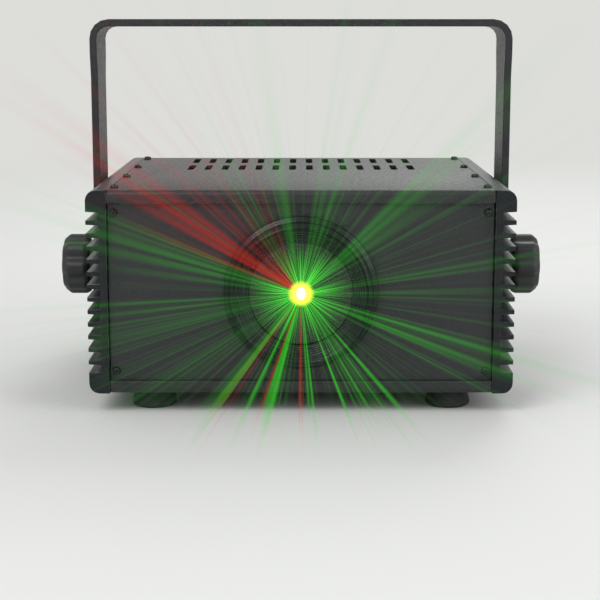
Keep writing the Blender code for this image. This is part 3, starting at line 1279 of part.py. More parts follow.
def make_key_switch(layout):
    """The lock: a flanged barrel with its nut, the turning plug, and the key in its slot."""
    x, z = at = layout["key"]
    front = REAR_Y + GAP
    face = front + KEY_FLANGE
    flange = [(0, 0), (KEY_FLANGE_RADIUS, 0), (KEY_FLANGE_RADIUS, KEY_FLANGE - KEY_EDGE),
              (KEY_FLANGE_RADIUS - KEY_EDGE, KEY_FLANGE), (0, KEY_FLANGE)]
    nut_back = REAR_IN_Y - GAP
    solid("key_switch", "zinc", turned(flange, (x, front, z), "Y"), [
        fused(rod(at, KEY_BARREL_RADIUS, REAR_IN_Y - KEY_BARREL_DEPTH, front + SEAT, "Y", 24)),
        fused(prism(circle(at, KEY_NUT_RADIUS, 6), nut_back - KEY_NUT_THICKNESS, nut_back, "Y")),
        cut(rod(at, KEY_PLUG_RADIUS + GAP, face - KEY_PLUG_DEPTH - GAP, face + SEAT, "Y", 24)),
    ])
    blade_half = (KEY_THICKNESS / 2, KEY_BLADE_WIDTH / 2)
    slot_low = (x - blade_half[0] - GAP, face - KEY_BLADE_DEPTH - GAP, z - blade_half[1] - GAP)
    slot_high = (x + blade_half[0] + GAP, face + SEAT, z + blade_half[1] + GAP)
    origin = (x, face, z)
    solid("key_plug", "brass", rod(at, KEY_PLUG_RADIUS, face - KEY_PLUG_DEPTH, face, "Y", 24),
          [cut(block(slot_low, slot_high))], origin=origin)
    bow_centre = (face + GAP + KEY_SHOULDER + KEY_BOW_RADIUS - KEY_BOW_FLAT, z)
    bow_low, bow_high = x - KEY_THICKNESS / 2, x + KEY_THICKNESS / 2
    shoulder = rectangle((face + GAP + KEY_SHOULDER / 2, z), KEY_SHOULDER, 2 * KEY_SHOULDER)
    blade = block((bow_low, face - KEY_BLADE_DEPTH, z - blade_half[1]),
                  (bow_high, face + 2 * GAP, z + blade_half[1]))
    ring_hole = (bow_centre[0] + KEY_BOW_RADIUS / 2, z)
    solid("key", "zinc", rod(bow_centre, KEY_BOW_RADIUS, bow_low, bow_high, "X", ROUND_STEPS), [
        fused(prism(shoulder, bow_low, bow_high, "X")),
        fused(blade),
        cut(rod(ring_hole, KEY_HOLE_RADIUS, bow_low - SEAT, bow_high + SEAT, "X")),
    ], origin=origin)


def make_menu(layout):
    """The display, its board with a switch under each button, the buttons and the microphone."""
    x, z = layout["display"]
    lens_back = REAR_IN_Y - (DISPLAY_THICKNESS - SHEET) / 2
    lens = rectangle((x, z), DISPLAY_WIDTH, DISPLAY_HEIGHT)
    solid("display_window", "display_lens",
          prism(lens, lens_back, lens_back + DISPLAY_THICKNESS, "Y"))
    board_x, board_z = layout["menu_board"]
    board_face = REAR_IN_Y - MENU_BOARD_GAP
    board_outline = rectangle((board_x, board_z), MENU_GROUP_WIDTH - 2 * MENU_BOARD_MARGIN,
                              MENU_GROUP_HEIGHT - 2 * MENU_BOARD_MARGIN)
    board = prism(board_outline, board_face - BOARD_THICKNESS, board_face, "Y")
    cap_back = REAR_IN_Y - GAP - BUTTON_FLANGE - BUTTON_STEM
    tact_top = cap_back - BUTTON_TRAVEL - GAP
    low = board_face - COMPONENT_EMBED
    tact = 2 * (BUTTON_RADIUS + BUTTON_FLANGE_MARGIN)
    parts = [prism(rectangle(at, tact, tact), low, tact_top, "Y") for at in button_places(layout)]
    parts.append(prism(lens, low, lens_back - GAP, "Y"))
    solid("menu_board", "board_green", board, [fused(gathered(parts))])
    back = REAR_IN_Y - GAP
    for number, at in enumerate(button_places(layout), 1):
        cap = rod(at, BUTTON_RADIUS, back - BUTTON_FLANGE / 2, REAR_Y + BUTTON_STANDOUT, "Y")
        flange = rod(at, BUTTON_RADIUS + BUTTON_FLANGE_MARGIN, back - BUTTON_FLANGE, back, "Y")
        stem = rod(at, BUTTON_RADIUS / 2, cap_back, back - BUTTON_FLANGE / 2, "Y", 8)
        solid(f"menu_button_{number}", "black_plastic", cap, [fused(flange), fused(stem)],
              origin=(at[0], REAR_Y, at[1]))
    solid("microphone", "aluminium", rod(layout["microphone"], MIC_RADIUS, back - MIC_DEPTH, back, "Y"))


def make_safety_eye(layout):
    """The bent tab above the fan that a safety bond is clipped through."""
    x, low = layout["eye"]
    front = REAR_Y + GAP
    top = low + EYE_LEG_HEIGHT
    tip_y = front + EYE_REACH
    nose = EYE_WIDTH / 2
    inner_bend = SEAT
    outer_bend = inner_bend + EYE_THICKNESS
    bend = (front + outer_bend, top - outer_bend)
    angle = [(front, low)]
    angle += arc(bend, outer_bend, 180, 90)
    angle += [(tip_y, top), (tip_y, top - EYE_THICKNESS)]
    angle += arc(bend, inner_bend, 90, 180, 2)
    angle.append((front + EYE_THICKNESS, low))
    round_y = tip_y - nose
    outline = arc((x, round_y), nose, 0, 180, 12)
    outline += [(x - nose, front - SEAT), (x + nose, front - SEAT)]
    hole_y = tip_y - EYE_THICKNESS - EYE_HOLE_RADIUS
    solid("safety_eye", "steel", prism(angle, x - nose - SEAT, x + nose + SEAT, "X"), [
        kept_within(prism(outline, low - SEAT, top + SEAT, "Z")),
        cut(rod((x, hole_y), EYE_HOLE_RADIUS, top - EYE_THICKNESS - SEAT, top + SEAT, "Z")),
    ])


def main():
    """Build every piece."""
    layout = rear_layout()
    make_shell()
    make_cheek("side_cheek_left", -1)
    make_cheek("side_cheek_right", 1)
    make_front()
    make_rear_panel(layout)
    make_yoke()
    make_tilt_fixings("left", -1)
    make_tilt_fixings("right", 1)
    make_optics_plate()
    make_grating_bracket()
    make_grating_drive("front", 1, WHEEL_FRONT_Y)
    make_grating_drive("rear", -1, WHEEL_REAR_Y)
    make_laser("green_laser_module", 0)
    make_laser("red_laser_module", math.radians(-90))
    make_combiner()
    make_boards()
    make_fan(layout)
    make_dmx_sockets(layout)
    make_mains_inlet(layout)
    make_power_switch(layout)
    make_dial(layout)
    make_key_switch(layout)
    make_menu(layout)
    make_safety_eye(layout)


clear_scene()
MATERIALS = make_materials()
main()
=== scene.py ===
"""Dress a packed laser effect projector: its finishes, its finely made pieces, lit aperture and stage.

Metres, in the frame of the solids: +Z up, and the aperture faces -Y.
"""
import json
import math
from functools import partial

import bmesh
import bpy
import numpy as np
from bpy.props import FloatProperty, FloatVectorProperty, IntProperty, PointerProperty
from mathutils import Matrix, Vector


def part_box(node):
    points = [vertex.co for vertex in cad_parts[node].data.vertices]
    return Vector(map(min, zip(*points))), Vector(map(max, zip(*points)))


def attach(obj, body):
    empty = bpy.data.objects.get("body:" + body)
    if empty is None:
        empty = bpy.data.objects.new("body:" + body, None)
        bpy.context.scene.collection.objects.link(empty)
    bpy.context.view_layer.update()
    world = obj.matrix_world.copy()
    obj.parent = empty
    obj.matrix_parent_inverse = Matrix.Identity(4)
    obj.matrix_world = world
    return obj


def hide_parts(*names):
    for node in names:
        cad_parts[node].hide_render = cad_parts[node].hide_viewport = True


bl_info = {
    "name": "Laser Effect Projector",
    "version": (1, 0, 0),
    "blender": (4, 5, 0),
    "location": "View3D > Sidebar > Projector",
    "description": "Finishes and fine pieces for a small laser effect projector",
    "category": "Object",
}

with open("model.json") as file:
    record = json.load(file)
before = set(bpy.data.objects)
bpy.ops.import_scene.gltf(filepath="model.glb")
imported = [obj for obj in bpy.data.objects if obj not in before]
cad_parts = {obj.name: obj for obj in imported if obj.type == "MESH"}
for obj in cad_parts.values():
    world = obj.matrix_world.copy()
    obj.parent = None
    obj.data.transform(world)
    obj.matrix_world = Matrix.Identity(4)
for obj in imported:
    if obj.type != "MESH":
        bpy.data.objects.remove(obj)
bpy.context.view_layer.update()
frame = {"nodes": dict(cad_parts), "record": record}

IMAGE_SIZE = 600
SOURCE_PIXEL = (301, 294)
SHARP_ANGLE = math.radians(32)
MERGE_DISTANCE = 1e-6


def linear(code):
    """An sRGB hex colour as linear red, green and blue."""
    channels = [int(code[start:start + 2], 16) / 255 for start in (0, 2, 4)]
    return tuple(c / 12.92 if c <= 0.04045 else ((c + 0.055) / 1.055) ** 2.4 for c in channels)


def colour(name, code, note):
    """A colour that a user may change, given as sRGB hex."""
    return FloatVectorProperty(name=name, description=note, default=linear(code), size=3,
                               min=0, max=1, subtype="COLOR")


def number(name, value, note, **kind):
    """A number that a user may change, plain or with a unit."""
    return FloatProperty(name=name, description=note, default=value, min=0, **kind)


# A length that a user may change, in metres
length = partial(number, precision=5, unit="LENGTH", subtype="DISTANCE")


class FinishSettings(bpy.types.PropertyGroup):
    """Colours and grain sizes of the surfaces."""

    paint: colour("Powder coat", "1B1C1F", "Colour of the coated sheet steel")
    anodised: colour("Black anodising", "232428", "Colour of the anodised aluminium")
    aluminium: colour("Aluminium", "B9BCC0", "Bare blasted aluminium")
    steel: colour("Zinc plate", "AEB2B8", "Bright zinc plated steel")
    nickel: colour("Satin nickel", "A6A49F", "Nickel plated die castings and wire")
    rubber: colour("Rubber", "1A1A1B", "Feet, washers and seal")
    nylon: colour("Black nylon", "1D1D20", "Knobs, fan and inlet")
    gloss: colour("Gloss black", "101012", "Switch and buttons")
    board: colour("Solder mask", "14532C", "Green circuit boards")
    brass: colour("Brass", "C09A55", "Lock plug and control bushing")
    ink: colour("Panel ink", "D8D9DA", "Printed marks")
    oxide: colour("Black oxide", "3B3C40", "Blackened steel screws")
    keys: colour("Key grey", "5C5F64", "Menu buttons")
    paint_grain: length("Paint grain", 0.0014, "Width of one bump of the powder coat")
    line_pitch: length("Extrusion lines", 0.0007, "Spacing of the die lines on the cheeks")
    wear_width: length("Worn edge", 0.00035, "How far from an edge the coat is rubbed off")
    edge_radius: length("Edge radius", 0.0004, "Rounding of the sheet and casting edges")


class ApertureSettings(bpy.types.PropertyGroup):
    """The lit window and the light that leaves it."""

    core_width: length("Core width", 0.0028, "Width of the white-hot point")
    core_height: length("Core height", 0.0040, "Height of the white-hot point")
    halo_radius: length("Halo radius", 0.0044, "Radius of the yellow ring round the point")
    ray_reach: length("Ray reach", 0.021, "Radius at which the rays on the window end")
    core: colour("Core", "FFFFF4", "Light of the point itself")
    halo: colour("Halo", "EEF23A", "Light of the ring round the point")
    green: colour("Green beam", "3BD42A", "Light of the green laser")
    red: colour("Red beam", "E0261A", "Light of the red laser")
    brightness: number("Brightness", 3.0, "Strength of the light in the window")
    beam_count: IntProperty(name="Green beams", description="Number of green beams", default=230, min=0)
    red_count: IntProperty(name="Red beams", description="Number of red beams", default=34, min=0)
    beam_reach: length("Beam reach", 0.15, "How far a beam shows in the haze")
    beam_cover: number("Beam cover", 0.6, "Most of what lies behind that a beam hides", max=1,
                       subtype="FACTOR")
    beam_floor: length("Beam foot", 0.012, "Height over the floor below which the beams fade")


class FixingSettings(bpy.types.PropertyGroup):
    """Screws and the guard's wire."""

    cover_screw: length("Cover screw", 0.0034, "Head width of the screws in the cover and tray")
    panel_screw: length("Panel screw", 0.0032, "Head width of the small screws at both ends")
    head_height: length("Head height", 0.0013, "Height of a screw head")
    foot_screw: length("Foot screw", 0.0056, "Head width of the screws inside the feet")
    guard_wire: length("Guard wire", 0.0009, "Half the thickness of the fan guard's wire")


class StageSettings(bpy.types.PropertyGroup):
    """Floor, lamps and camera."""

    floor: colour("Floor", "DDDDDA", "Colour of the floor and of the surroundings behind")
    elevation: number("Elevation", math.radians(10), "Camera height above the aperture's axis",
                      unit="ROTATION", subtype="ANGLE")
    azimuth: number("Azimuth", 0.0, "Camera angle round the projector", unit="ROTATION", subtype="ANGLE")
    distance: length("Distance", 0.58, "From the camera to the window")
    lens: number("Lens", 90.0, "Focal length", unit="CAMERA")
    key: number("Key lamp", 7.0, "The large lamp at the upper left", unit="POWER")
    fill: number("Fill lamp", 3.5, "The lamp at the right", unit="POWER")
    rim: number("Rim lamp", 5.0, "The lamp behind", unit="POWER")
    world: number("Surroundings", 0.70, "Strength of the even light")


class ProjectorSettings(bpy.types.PropertyGroup):
    """All settings of the projector."""

    finish: PointerProperty(type=FinishSettings, name="Finish", description="Surfaces")
    aperture: PointerProperty(type=ApertureSettings, name="Aperture", description="Lit window")
    fixing: PointerProperty(type=FixingSettings, name="Fixings", description="Screws and wire")
    stage: PointerProperty(type=StageSettings, name="Stage", description="Floor, lamps, camera")


def settings():
    """The scene's own settings."""
    return bpy.context.scene.projector


# Places read from the solids

def low_of(node):
    """Lowest corner of a node's box."""
    return np.array(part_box(node)[0])


def high_of(node):
    """Highest corner of a node's box."""
    return np.array(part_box(node)[1])


def middle_of(node):
    """Middle of a node's box."""
    return (low_of(node) + high_of(node)) / 2


AXIS_Z = middle_of("aperture_window")[2]
WINDOW_FRONT = low_of("aperture_window")[1]
PANEL_BACK = high_of("rear_panel")[1]
SOCKET_Z = middle_of("dmx_in")[2]
INSERT_RADIUS = 0.0075
FAN_SCREW = 0.016
FOOT_SCREW_Z = 0.0045
FEET = ("foot_1", "foot_2", "foot_3", "foot_4")
BUTTONS = tuple(f"menu_button_{index}" for index in (1, 2, 3, 4))
SIDES = (-1, 1)
BACK_RIGHT = (-1, 0, 0)
UP = (0, 0, 1)


# Shapes

def placed(across, up, along, axis):
    """Points from coordinates across, up and along an axis, in X, Y, Z order."""
    order = {"X": (along, across, up), "Y": (across, along, up), "Z": (across, up, along)}[axis]
    return np.stack(np.broadcast_arrays(*order), -1)


def softened(corners, radius, steps=5, closed=True):
    """A profile with rounded corners.

    For corner C, with A and B at `radius` from it along its two edges, the points are
    (1 - t)^2 A + 2 t (1 - t) C + t^2 B for t from 0 to 1. The ends of an open profile stay sharp.
    """
    corner = np.asarray(corners, float)
    t = np.linspace(0, 1, steps)[None, :, None]

    def towards(other):
        edge = other - corner
        far = np.linalg.norm(edge, axis=1, keepdims=True)
        return (corner + edge / far * np.minimum(radius, far * 0.45))[:, None]

    before = towards(np.roll(corner, 1, 0))
    after = towards(np.roll(corner, -1, 0))
    points = (1 - t) ** 2 * before + 2 * t * (1 - t) * corner[:, None] + t ** 2 * after
    if not closed:
        points[0] = corner[0]
        points[-1] = corner[-1]
    return points.reshape(-1, 2)


def turned(profile, centre, axis, sides=96, shape=1):
    """Surface of revolution: r (cos a, sin a) across the axis and d along it, for each (r, d).

    `shape` is a ring's reach at angle a over r, one row for each point of the profile or one for all.
    """
    radius, along = np.asarray(profile, float).T
    angle = np.linspace(0, math.tau, sides, endpoint=False)
    reach = radius[:, None] * shape
    grid = placed(reach * np.cos(angle), reach * np.sin(angle), along[:, None], axis)
    return grid + np.asarray(centre)


def ring(radius, wire, centre, axis, around=12):
    """Torus: a circle of radius `wire` carried round a circle of radius `radius`."""
    turn = np.linspace(0, math.tau, around + 1)
    profile = np.stack((radius + wire * np.cos(turn), wire * np.sin(turn)), -1)
    return turned(profile, centre, axis)


def bar(start, end, radius, sides=12, dome=0.35):
    """Round bar: a circle carried from start to end, with ends that swell from a point."""
    along = np.subtract(end, start)
    reach = np.linalg.norm(along)
    along = along / reach
    side = np.cross(along, np.eye(3)[np.argmin(abs(along))])
    side = side / np.linalg.norm(side)
    bulge = dome * radius
    stations = np.array([0, bulge * 0.3, bulge, reach - bulge, reach - bulge * 0.3, reach])
    widths = np.array([0, 0.75, 1, 1, 0.75, 0]) * radius
    angle = np.linspace(0, math.tau, sides, endpoint=False)[None, :, None]
    circle = np.cos(angle) * side + np.sin(angle) * np.cross(along, side)
    return start + stations[:, None, None] * along + widths[:, None, None] * circle


def patch(outline, origin, up, thickness, hole=None):
    """Flat plate seen from behind: origin + u right + v up + w out, for the outline's (u, v).

    It is closed by fans about its middle, or runs round a hole with as many corners.
    """
    outline = np.asarray(outline, float)
    right = np.asarray(BACK_RIGHT, float)
    up = np.asarray(up, float)
    out = np.cross(right, up) * thickness
    inner = np.broadcast_to(outline.mean(0), outline.shape) if hole is None else hole
    rows = ((inner, 0), (outline, 0), (outline, 1), (inner, 1), (inner, 0))
    return np.stack([origin + points[:, :1] * right + points[:, 1:] * up + level * out
                     for points, level in rows])


def box_outline(width, height, centre=(0, 0)):
    """Four corners of a rectangle."""
    return np.array([(-1, -1), (1, -1), (1, 1), (-1, 1)]) * (width / 2, height / 2) + centre


def round_outline(radius, centre=(0, 0), sides=24):
    """Points r (cos a, sin a) about a centre."""
    angle = np.linspace(0, math.tau, sides, endpoint=False)
    return np.stack((np.cos(angle), np.sin(angle)), -1) * radius + centre


def four_round(x, z, across, up, y):
    """Four places round a middle, on a plane across Y."""
    return [np.array((x + side * across, y, z + end * up)) for side in SIDES for end in SIDES]


def screw_head(place, axis, direction, width, height, recess):
    """Button head: a dome of revolution with a hexagonal or cross-shaped recess in its top.

    The hexagon's reach at angle a is cos 30 over cos of a's distance from the nearest flat's
    middle. The cross's is 0.3 + 0.7 |cos 2a| to the fourth power.
    """
    half = width / 2
    key = half * (0.52 if recess == "hexagon" else 0.62)
    profile = [(0, 0), (half, 0), (half, height * 0.35), (half * 0.86, height * 0.82),
               (half * 0.66, height), (key, height), (key * 0.96, height * 0.3), (0, height * 0.3)]
    soft = softened(profile, height * 0.16, 4, closed=False)
    angle = np.linspace(0, math.tau, 36, endpoint=False)
    if recess == "hexagon":
        flat = math.pi / 6
        reach = math.cos(flat) / np.cos((angle % (2 * flat)) - flat)
    else:
        reach = 0.3 + 0.7 * np.cos(2 * angle) ** 4
    inside = (soft[:, 0] < half * 0.64) & (np.arange(len(soft)) > len(soft) / 2)
    return turned(soft * (1, direction), place, axis, 36, np.where(inside[:, None], reach, 1))


def quads_of(rows, columns, wrap_rows):
    """The four corners of each cell of a grid whose rows are closed rings."""
    index = np.arange(rows * columns).reshape(rows, columns)
    if wrap_rows:
        index = np.vstack((index, index[:1]))
    index = np.hstack((index, index[:, :1]))
    cells = (index[:-1, :-1], index[:-1, 1:], index[1:, 1:], index[1:, :-1])
    return np.stack(cells, -1).reshape(-1, 4)


def mesh_of(name, grids, wrap_rows=False):
    """One mesh from grids of points: doubles merged, so that poles and seams close, faces outwards."""
    faces = []
    start = 0
    for grid in grids:
        rows, columns = grid.shape[:2]
        faces.append(quads_of(rows, columns, wrap_rows) + start)
        start += rows * columns
    mesh = bpy.data.meshes.new(name)
    mesh.from_pydata(np.concatenate([grid.reshape(-1, 3) for grid in grids]), [], np.concatenate(faces))
    work = bmesh.new()
    work.from_mesh(mesh)
    bmesh.ops.remove_doubles(work, verts=work.verts, dist=MERGE_DISTANCE)
    bmesh.ops.recalc_face_normals(work, faces=work.faces)
    work.to_mesh(mesh)
    work.free()
    mesh.shade_smooth()
    mesh.set_sharp_from_angle(angle=SHARP_ANGLE)
    return mesh


def link(name, data):
    """A new object in the scene's collection."""
    item = bpy.data.objects.new(name, data)
    bpy.context.scene.collection.objects.link(item)
    return item


def add_piece(name, grids, finish, body="housing", replaces=(), wrap_rows=False):
    """Make a piece from its grids, let it ride on a body, and hide the solids that it replaces."""
    mesh = mesh_of(name, grids, wrap_rows)
    mesh.materials.append(finish_named(finish))
    piece = link(name, mesh)
    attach(piece, body)
    if replaces:
        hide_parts(*replaces)
    return piece


# Materials

FINISHES = {}
MADE = {}
GRAIN_SPAN = (0.3, 0.7)  # noise lies mostly between these two


def surface(slot, name):
    """Keep a recipe, which gives the shader's inputs, under its slot with its material's name."""
    def keep(recipe):
        FINISHES[slot] = (name, recipe)
        return recipe
    return keep


def add_node(tree, family, kind, *inputs, named=(), out=None, **values):
    """One node: its own settings, then its inputs in order or by name, each a value or an output.

    It gives back the output that is asked for, or else the first that is in use.
    """
    made = tree.nodes.new(family + kind)
    for name, value in values.items():
        setattr(made, name, value)
    used = [socket for socket in made.inputs if socket.enabled]
    chosen = [(made.inputs[name], value) for name, value in dict(named).items()]
    for socket, value in (*zip(used, inputs), *chosen):
        if isinstance(value, bpy.types.NodeSocket):
            tree.links.new(value, socket)
        else:
            socket.default_value = value
    return made.outputs[out] if out else next((each for each in made.outputs if each.enabled), None)


def new_material(name):
    """An empty material, a way to add its nodes, and its object coordinates."""
    material = bpy.data.materials.new(name)
    material.use_nodes = True
    material.node_tree.nodes.clear()
    add = partial(add_node, material.node_tree, "ShaderNode")
    return material, add, add("TexCoord", out="Object")


def finish_named(slot):
    """The material of a finish, made once."""
    if slot not in MADE:
        name, recipe = FINISHES[slot]
        material, add, place = new_material(name)
        add("OutputMaterial", add("BsdfPrincipled", named=recipe(add, place, settings().finish)))
        MADE[slot] = material
    return MADE[slot]


def shade(rgb, factor=1.0):
    """A colour as four channels, made lighter or darker."""
    return (*(min(1.0, channel * factor) for channel in rgb), 1.0)


def grains(add, place, size, stretch=(1, 1, 1), detail=2.0):
    """Noise whose grains are `size` metres wide, drawn out along the axes by `stretch`."""
    scale = tuple(1 / (size * factor) for factor in stretch)
    return add("TexNoise", add("VectorMath", place, scale, operation="MULTIPLY"), 1.0, detail)


def between(add, place, size, low, high, **pattern):
    """A value between two, cloudy by grains of a size."""
    return add("MapRange", grains(add, place, size, **pattern), *GRAIN_SPAN, low, high)


def cloudy(add, place, size, low, high, detail=2.0):
    """A colour between two, cloudy by grains of a size."""
    return add("Mix", grains(add, place, size, detail=detail), low, high, data_type="RGBA")


def from_axis(add, place, x, z):
    """The offset from the line along Y through x and z."""
    centred = add("VectorMath", place, (x, 0, z), operation="SUBTRACT")
    return add("VectorMath", centred, (1, 0, 1), operation="MULTIPLY")


def worn_edges(add, place, width):
    """1 where the coat is rubbed off: where the rounded normal leaves the face's, in 3 mm patches.

    The cosine of the turn between the two falls from 0.97 to 0.86 as the wear sets in.
    """
    turn = add("VectorMath", add("Bevel", width, samples=6), add("NewGeometry", out="Normal"),
               operation="DOT_PRODUCT")
    spots = add("MapRange", grains(add, place, 0.003, detail=4.0), 0.44, 0.62, 0, 1)
    return add("Math", add("MapRange", turn, 0.97, 0.86, 0, 1), spots, operation="MULTIPLY")


def relief(add, height, depth):
    """A normal from a height pattern `depth` metres deep, laid over edges that are slightly rounded."""
    rounded = add("Bevel", settings().finish.edge_radius, samples=4)
    return add("Bump", named={"Height": height, "Distance": depth, "Normal": rounded})


def worn_metal(add, worn, coat, metal, bare, gloss, normal):
    """Shader inputs of a coat over metal: `bare` gives how metallic it reads coated and rubbed off."""
    return {"Base Color": add("Mix", worn, coat, metal, data_type="RGBA"),
            "Metallic": add("MapRange", worn, 0, 1, *bare),
            "Roughness": gloss,
            "Normal": normal}


@surface("powder_coat", "powder_coat_on_steel")
def powder_coat(add, place, look):
    """Polyester powder coat on sheet steel: an even orange-peel skin, satin, rubbed at the edges."""
    coat = cloudy(add, place, 0.025, shade(look.paint, 0.8), shade(look.paint, 1.25), 3.0)
    peel = grains(add, place, look.paint_grain, detail=1.0)
    return worn_metal(add, worn_edges(add, place, look.wear_width), coat, shade(look.steel, 0.30),
                      (0, 0.6), add("MapRange", peel, *GRAIN_SPAN, 0.38, 0.56), relief(add, peel, 0.0002))


@surface("black_anodised", "black_anodised_extrusion")
def anodised_extrusion(add, place, look):
    """Black anodised 6063 extrusion: a fine satin metal with the die's lines running front to back.

    Real lines lie about 0.2 mm apart. They are drawn at 0.7 mm, so that they show.
    """
    lines = grains(add, place, look.line_pitch, stretch=(1, 220, 1))
    dye = cloudy(add, place, 0.02, shade(look.anodised, 0.8), shade(look.anodised, 1.3), 3.0)
    return worn_metal(add, worn_edges(add, place, look.wear_width), dye, shade(look.aluminium, 0.45),
                      (0.65, 1), add("MapRange", lines, *GRAIN_SPAN, 0.30, 0.44),
                      relief(add, lines, 0.00004))


@surface("turned_black", "black_anodised_turning")
def anodised_turning(add, place, look):
    """Black anodised turning: the lathe tool's fine rings catch the light as circles.

    Real rings lie about 0.15 mm apart. They are drawn at 0.4 mm, so that they show.
    """
    radius = add("VectorMath", from_axis(add, place, 0, AXIS_Z), operation="LENGTH")
    rings = grains(add, add("CombineXYZ", radius), look.line_pitch * 0.6)
    return worn_metal(add, worn_edges(add, place, look.wear_width), shade(look.anodised, 0.9),
                      shade(look.aluminium, 0.6), (0.7, 1),
                      add("MapRange", rings, *GRAIN_SPAN, 0.20, 0.36), relief(add, rings, 0.00003))


def bare_metal(slot, name, tint, size, stretch, rough, depth):
    """A bare metal: tone and gloss vary with its grain, whose size and direction follow its making.

    Real grains are 0.1 to 0.2 mm wide. They are drawn at 0.5 mm or more, so that they show.
    """
    @surface(slot, name)
    def metal(add, place, look):
        grain = grains(add, place, size, stretch)
        rgb = getattr(look, tint)
        return {"Base Color": cloudy(add, place, 0.012, shade(rgb, 0.82), shade(rgb, 1.06), 4.0),
                "Metallic": 1.0,
                "Roughness": add("MapRange", grain, *GRAIN_SPAN, rough - 0.07, rough + 0.09),
                "Normal": relief(add, grain, depth)}


# Bead-blasted aluminium: an even pale matt metal
bare_metal("bare_aluminium", "blasted_aluminium", "aluminium", 0.0006, (1, 1, 1), 0.42, 0.00003)
# Bright zinc plate on rolled strip: a bluish metal with faint rolling lines across
bare_metal("bare_steel", "zinc_plated_steel", "steel", 0.0006, (12, 1, 1), 0.34, 0.000006)
# Black oxide on turned steel: a dark satin metal with a faint oily cloud
bare_metal("dark_steel", "black_oxide_steel", "oxide", 0.0006, (1, 1, 1), 0.36, 0.00002)
# Nickel plate on a die casting: a warm grey metal with a soft cast skin
bare_metal("zinc_casting", "satin_nickel_casting", "nickel", 0.0012, (1, 1, 1), 0.32, 0.00001)
# Drawn and nickel plated wire: bright, with faint drawing marks
bare_metal("guard_wire", "nickel_plated_wire", "nickel", 0.0005, (6, 1, 6), 0.22, 0.00001)
# Turned brass: yellow metal with fine tool marks along the turning axis
bare_metal("brass", "machined_brass", "brass", 0.0005, (1, 4, 1), 0.28, 0.00002)


def moulded(slot, name, tint, size, rough, depth, dust):
    """A moulded polymer: its skin is the mould's texture, paler by `dust` where it is handled.

    A real texture's pits are about 0.2 mm wide. They are drawn at 0.8 mm or more, so that they show.
    """
    @surface(slot, name)
    def polymer(add, place, look):
        skin = grains(add, place, size, detail=1.0)
        rgb = getattr(look, tint)
        return {"Base Color": cloudy(add, place, 0.015, shade(rgb, 0.85), shade(rgb, dust), 4.0),
                "Roughness": add("MapRange", skin, *GRAIN_SPAN, rough - 0.06, rough + 0.08),
                "Normal": relief(add, skin, depth)}


# Moulded black rubber: dull, faintly dusty
moulded("rubber", "moulded_rubber", "rubber", 0.0008, 0.74, 0.00006, 2.2)
# Glass-filled black nylon from a spark-eroded mould: matt with a fine grain
moulded("black_nylon", "moulded_black_nylon", "nylon", 0.0009, 0.46, 0.00008, 1.6)
# Glossy moulded polycarbonate: smooth, with a faint long wave from the mould
moulded("gloss_black", "gloss_polycarbonate", "gloss", 0.004, 0.14, 0.00002, 1.3)
# Moulded ABS keys: a mid grey satin plastic
moulded("grey_keys", "moulded_grey_keys", "keys", 0.0008, 0.38, 0.00004, 1.15)


@surface("casting_with_insert", "nickel_casting_and_nylon_insert")
def casting_with_insert(add, place, look):
    """Satin nickel casting round a moulded black insert: pale metal outside, matt black inside."""
    radius = add("VectorMath", from_axis(add, place, middle_of("dmx_out")[0], SOCKET_Z),
                 operation="LENGTH")
    insert = add("MapRange", radius, INSERT_RADIUS + 0.00005, INSERT_RADIUS, 0, 1)
    metal = cloudy(add, place, 0.012, shade(look.nickel, 0.82), shade(look.nickel, 1.06), 4.0)
    plastic = cloudy(add, place, 0.012, shade(look.nylon, 0.85), shade(look.nylon, 1.6), 4.0)
    grain = grains(add, place, 0.0012)
    return {"Base Color": add("Mix", insert, metal, plastic, data_type="RGBA"),
            "Metallic": add("MapRange", insert, 0, 1, 1, 0),
            "Roughness": add("MapRange", grain, *GRAIN_SPAN, 0.28, 0.42),
            "Normal": relief(add, grain, 0.00001)}


@surface("grating_film", "embossed_grating_film")
def grating_film(add, place, look):
    """Embossed film in a dark hub and rim: the grooves split light into soft rainbow bands.

    Real grooves lie about 0.001 mm apart. They are drawn at 0.6 mm, so that they show.
    """
    hue = between(add, place, 0.012, 0.15, 0.75, stretch=(1, 1, 3), detail=0.0)
    grooves = grains(add, place, 0.0006, stretch=(40, 1, 1))
    return {"Base Color": add("CombineColor", hue, 0.45, 0.62, mode="HSV"),
            "Metallic": 0.85,
            "Roughness": add("MapRange", grooves, *GRAIN_SPAN, 0.16, 0.30),
            "Normal": relief(add, grooves, 0.00002)}


def tinted_glass(slot, name, low, high, size, rough, weight, ior, detail):
    """A clear pane whose tint drifts between two hex colours, with a faint haze in its gloss."""
    @surface(slot, name)
    def pane(add, place, look):
        return {"Base Color": cloudy(add, place, size, shade(linear(low)), shade(linear(high)), detail),
                "Roughness": between(add, place, size, *rough, detail=detail),
                "Transmission Weight": weight,
                "IOR": ior}


# Dichroic coated glass: clear, with a magenta cast in reflection
tinted_glass("combiner_glass", "dichroic_glass", "E6B8E0", "B8E0E6", 0.006, (0.03, 0.08), 0.8, 1.5, 2.0)
# Dark red cast acrylic over the digits: glossy and nearly black until lit
tinted_glass("display_lens", "dark_red_acrylic", "8E1214", "A01A1C", 0.004, (0.02, 0.06), 1.0, 1.49, 3.0)


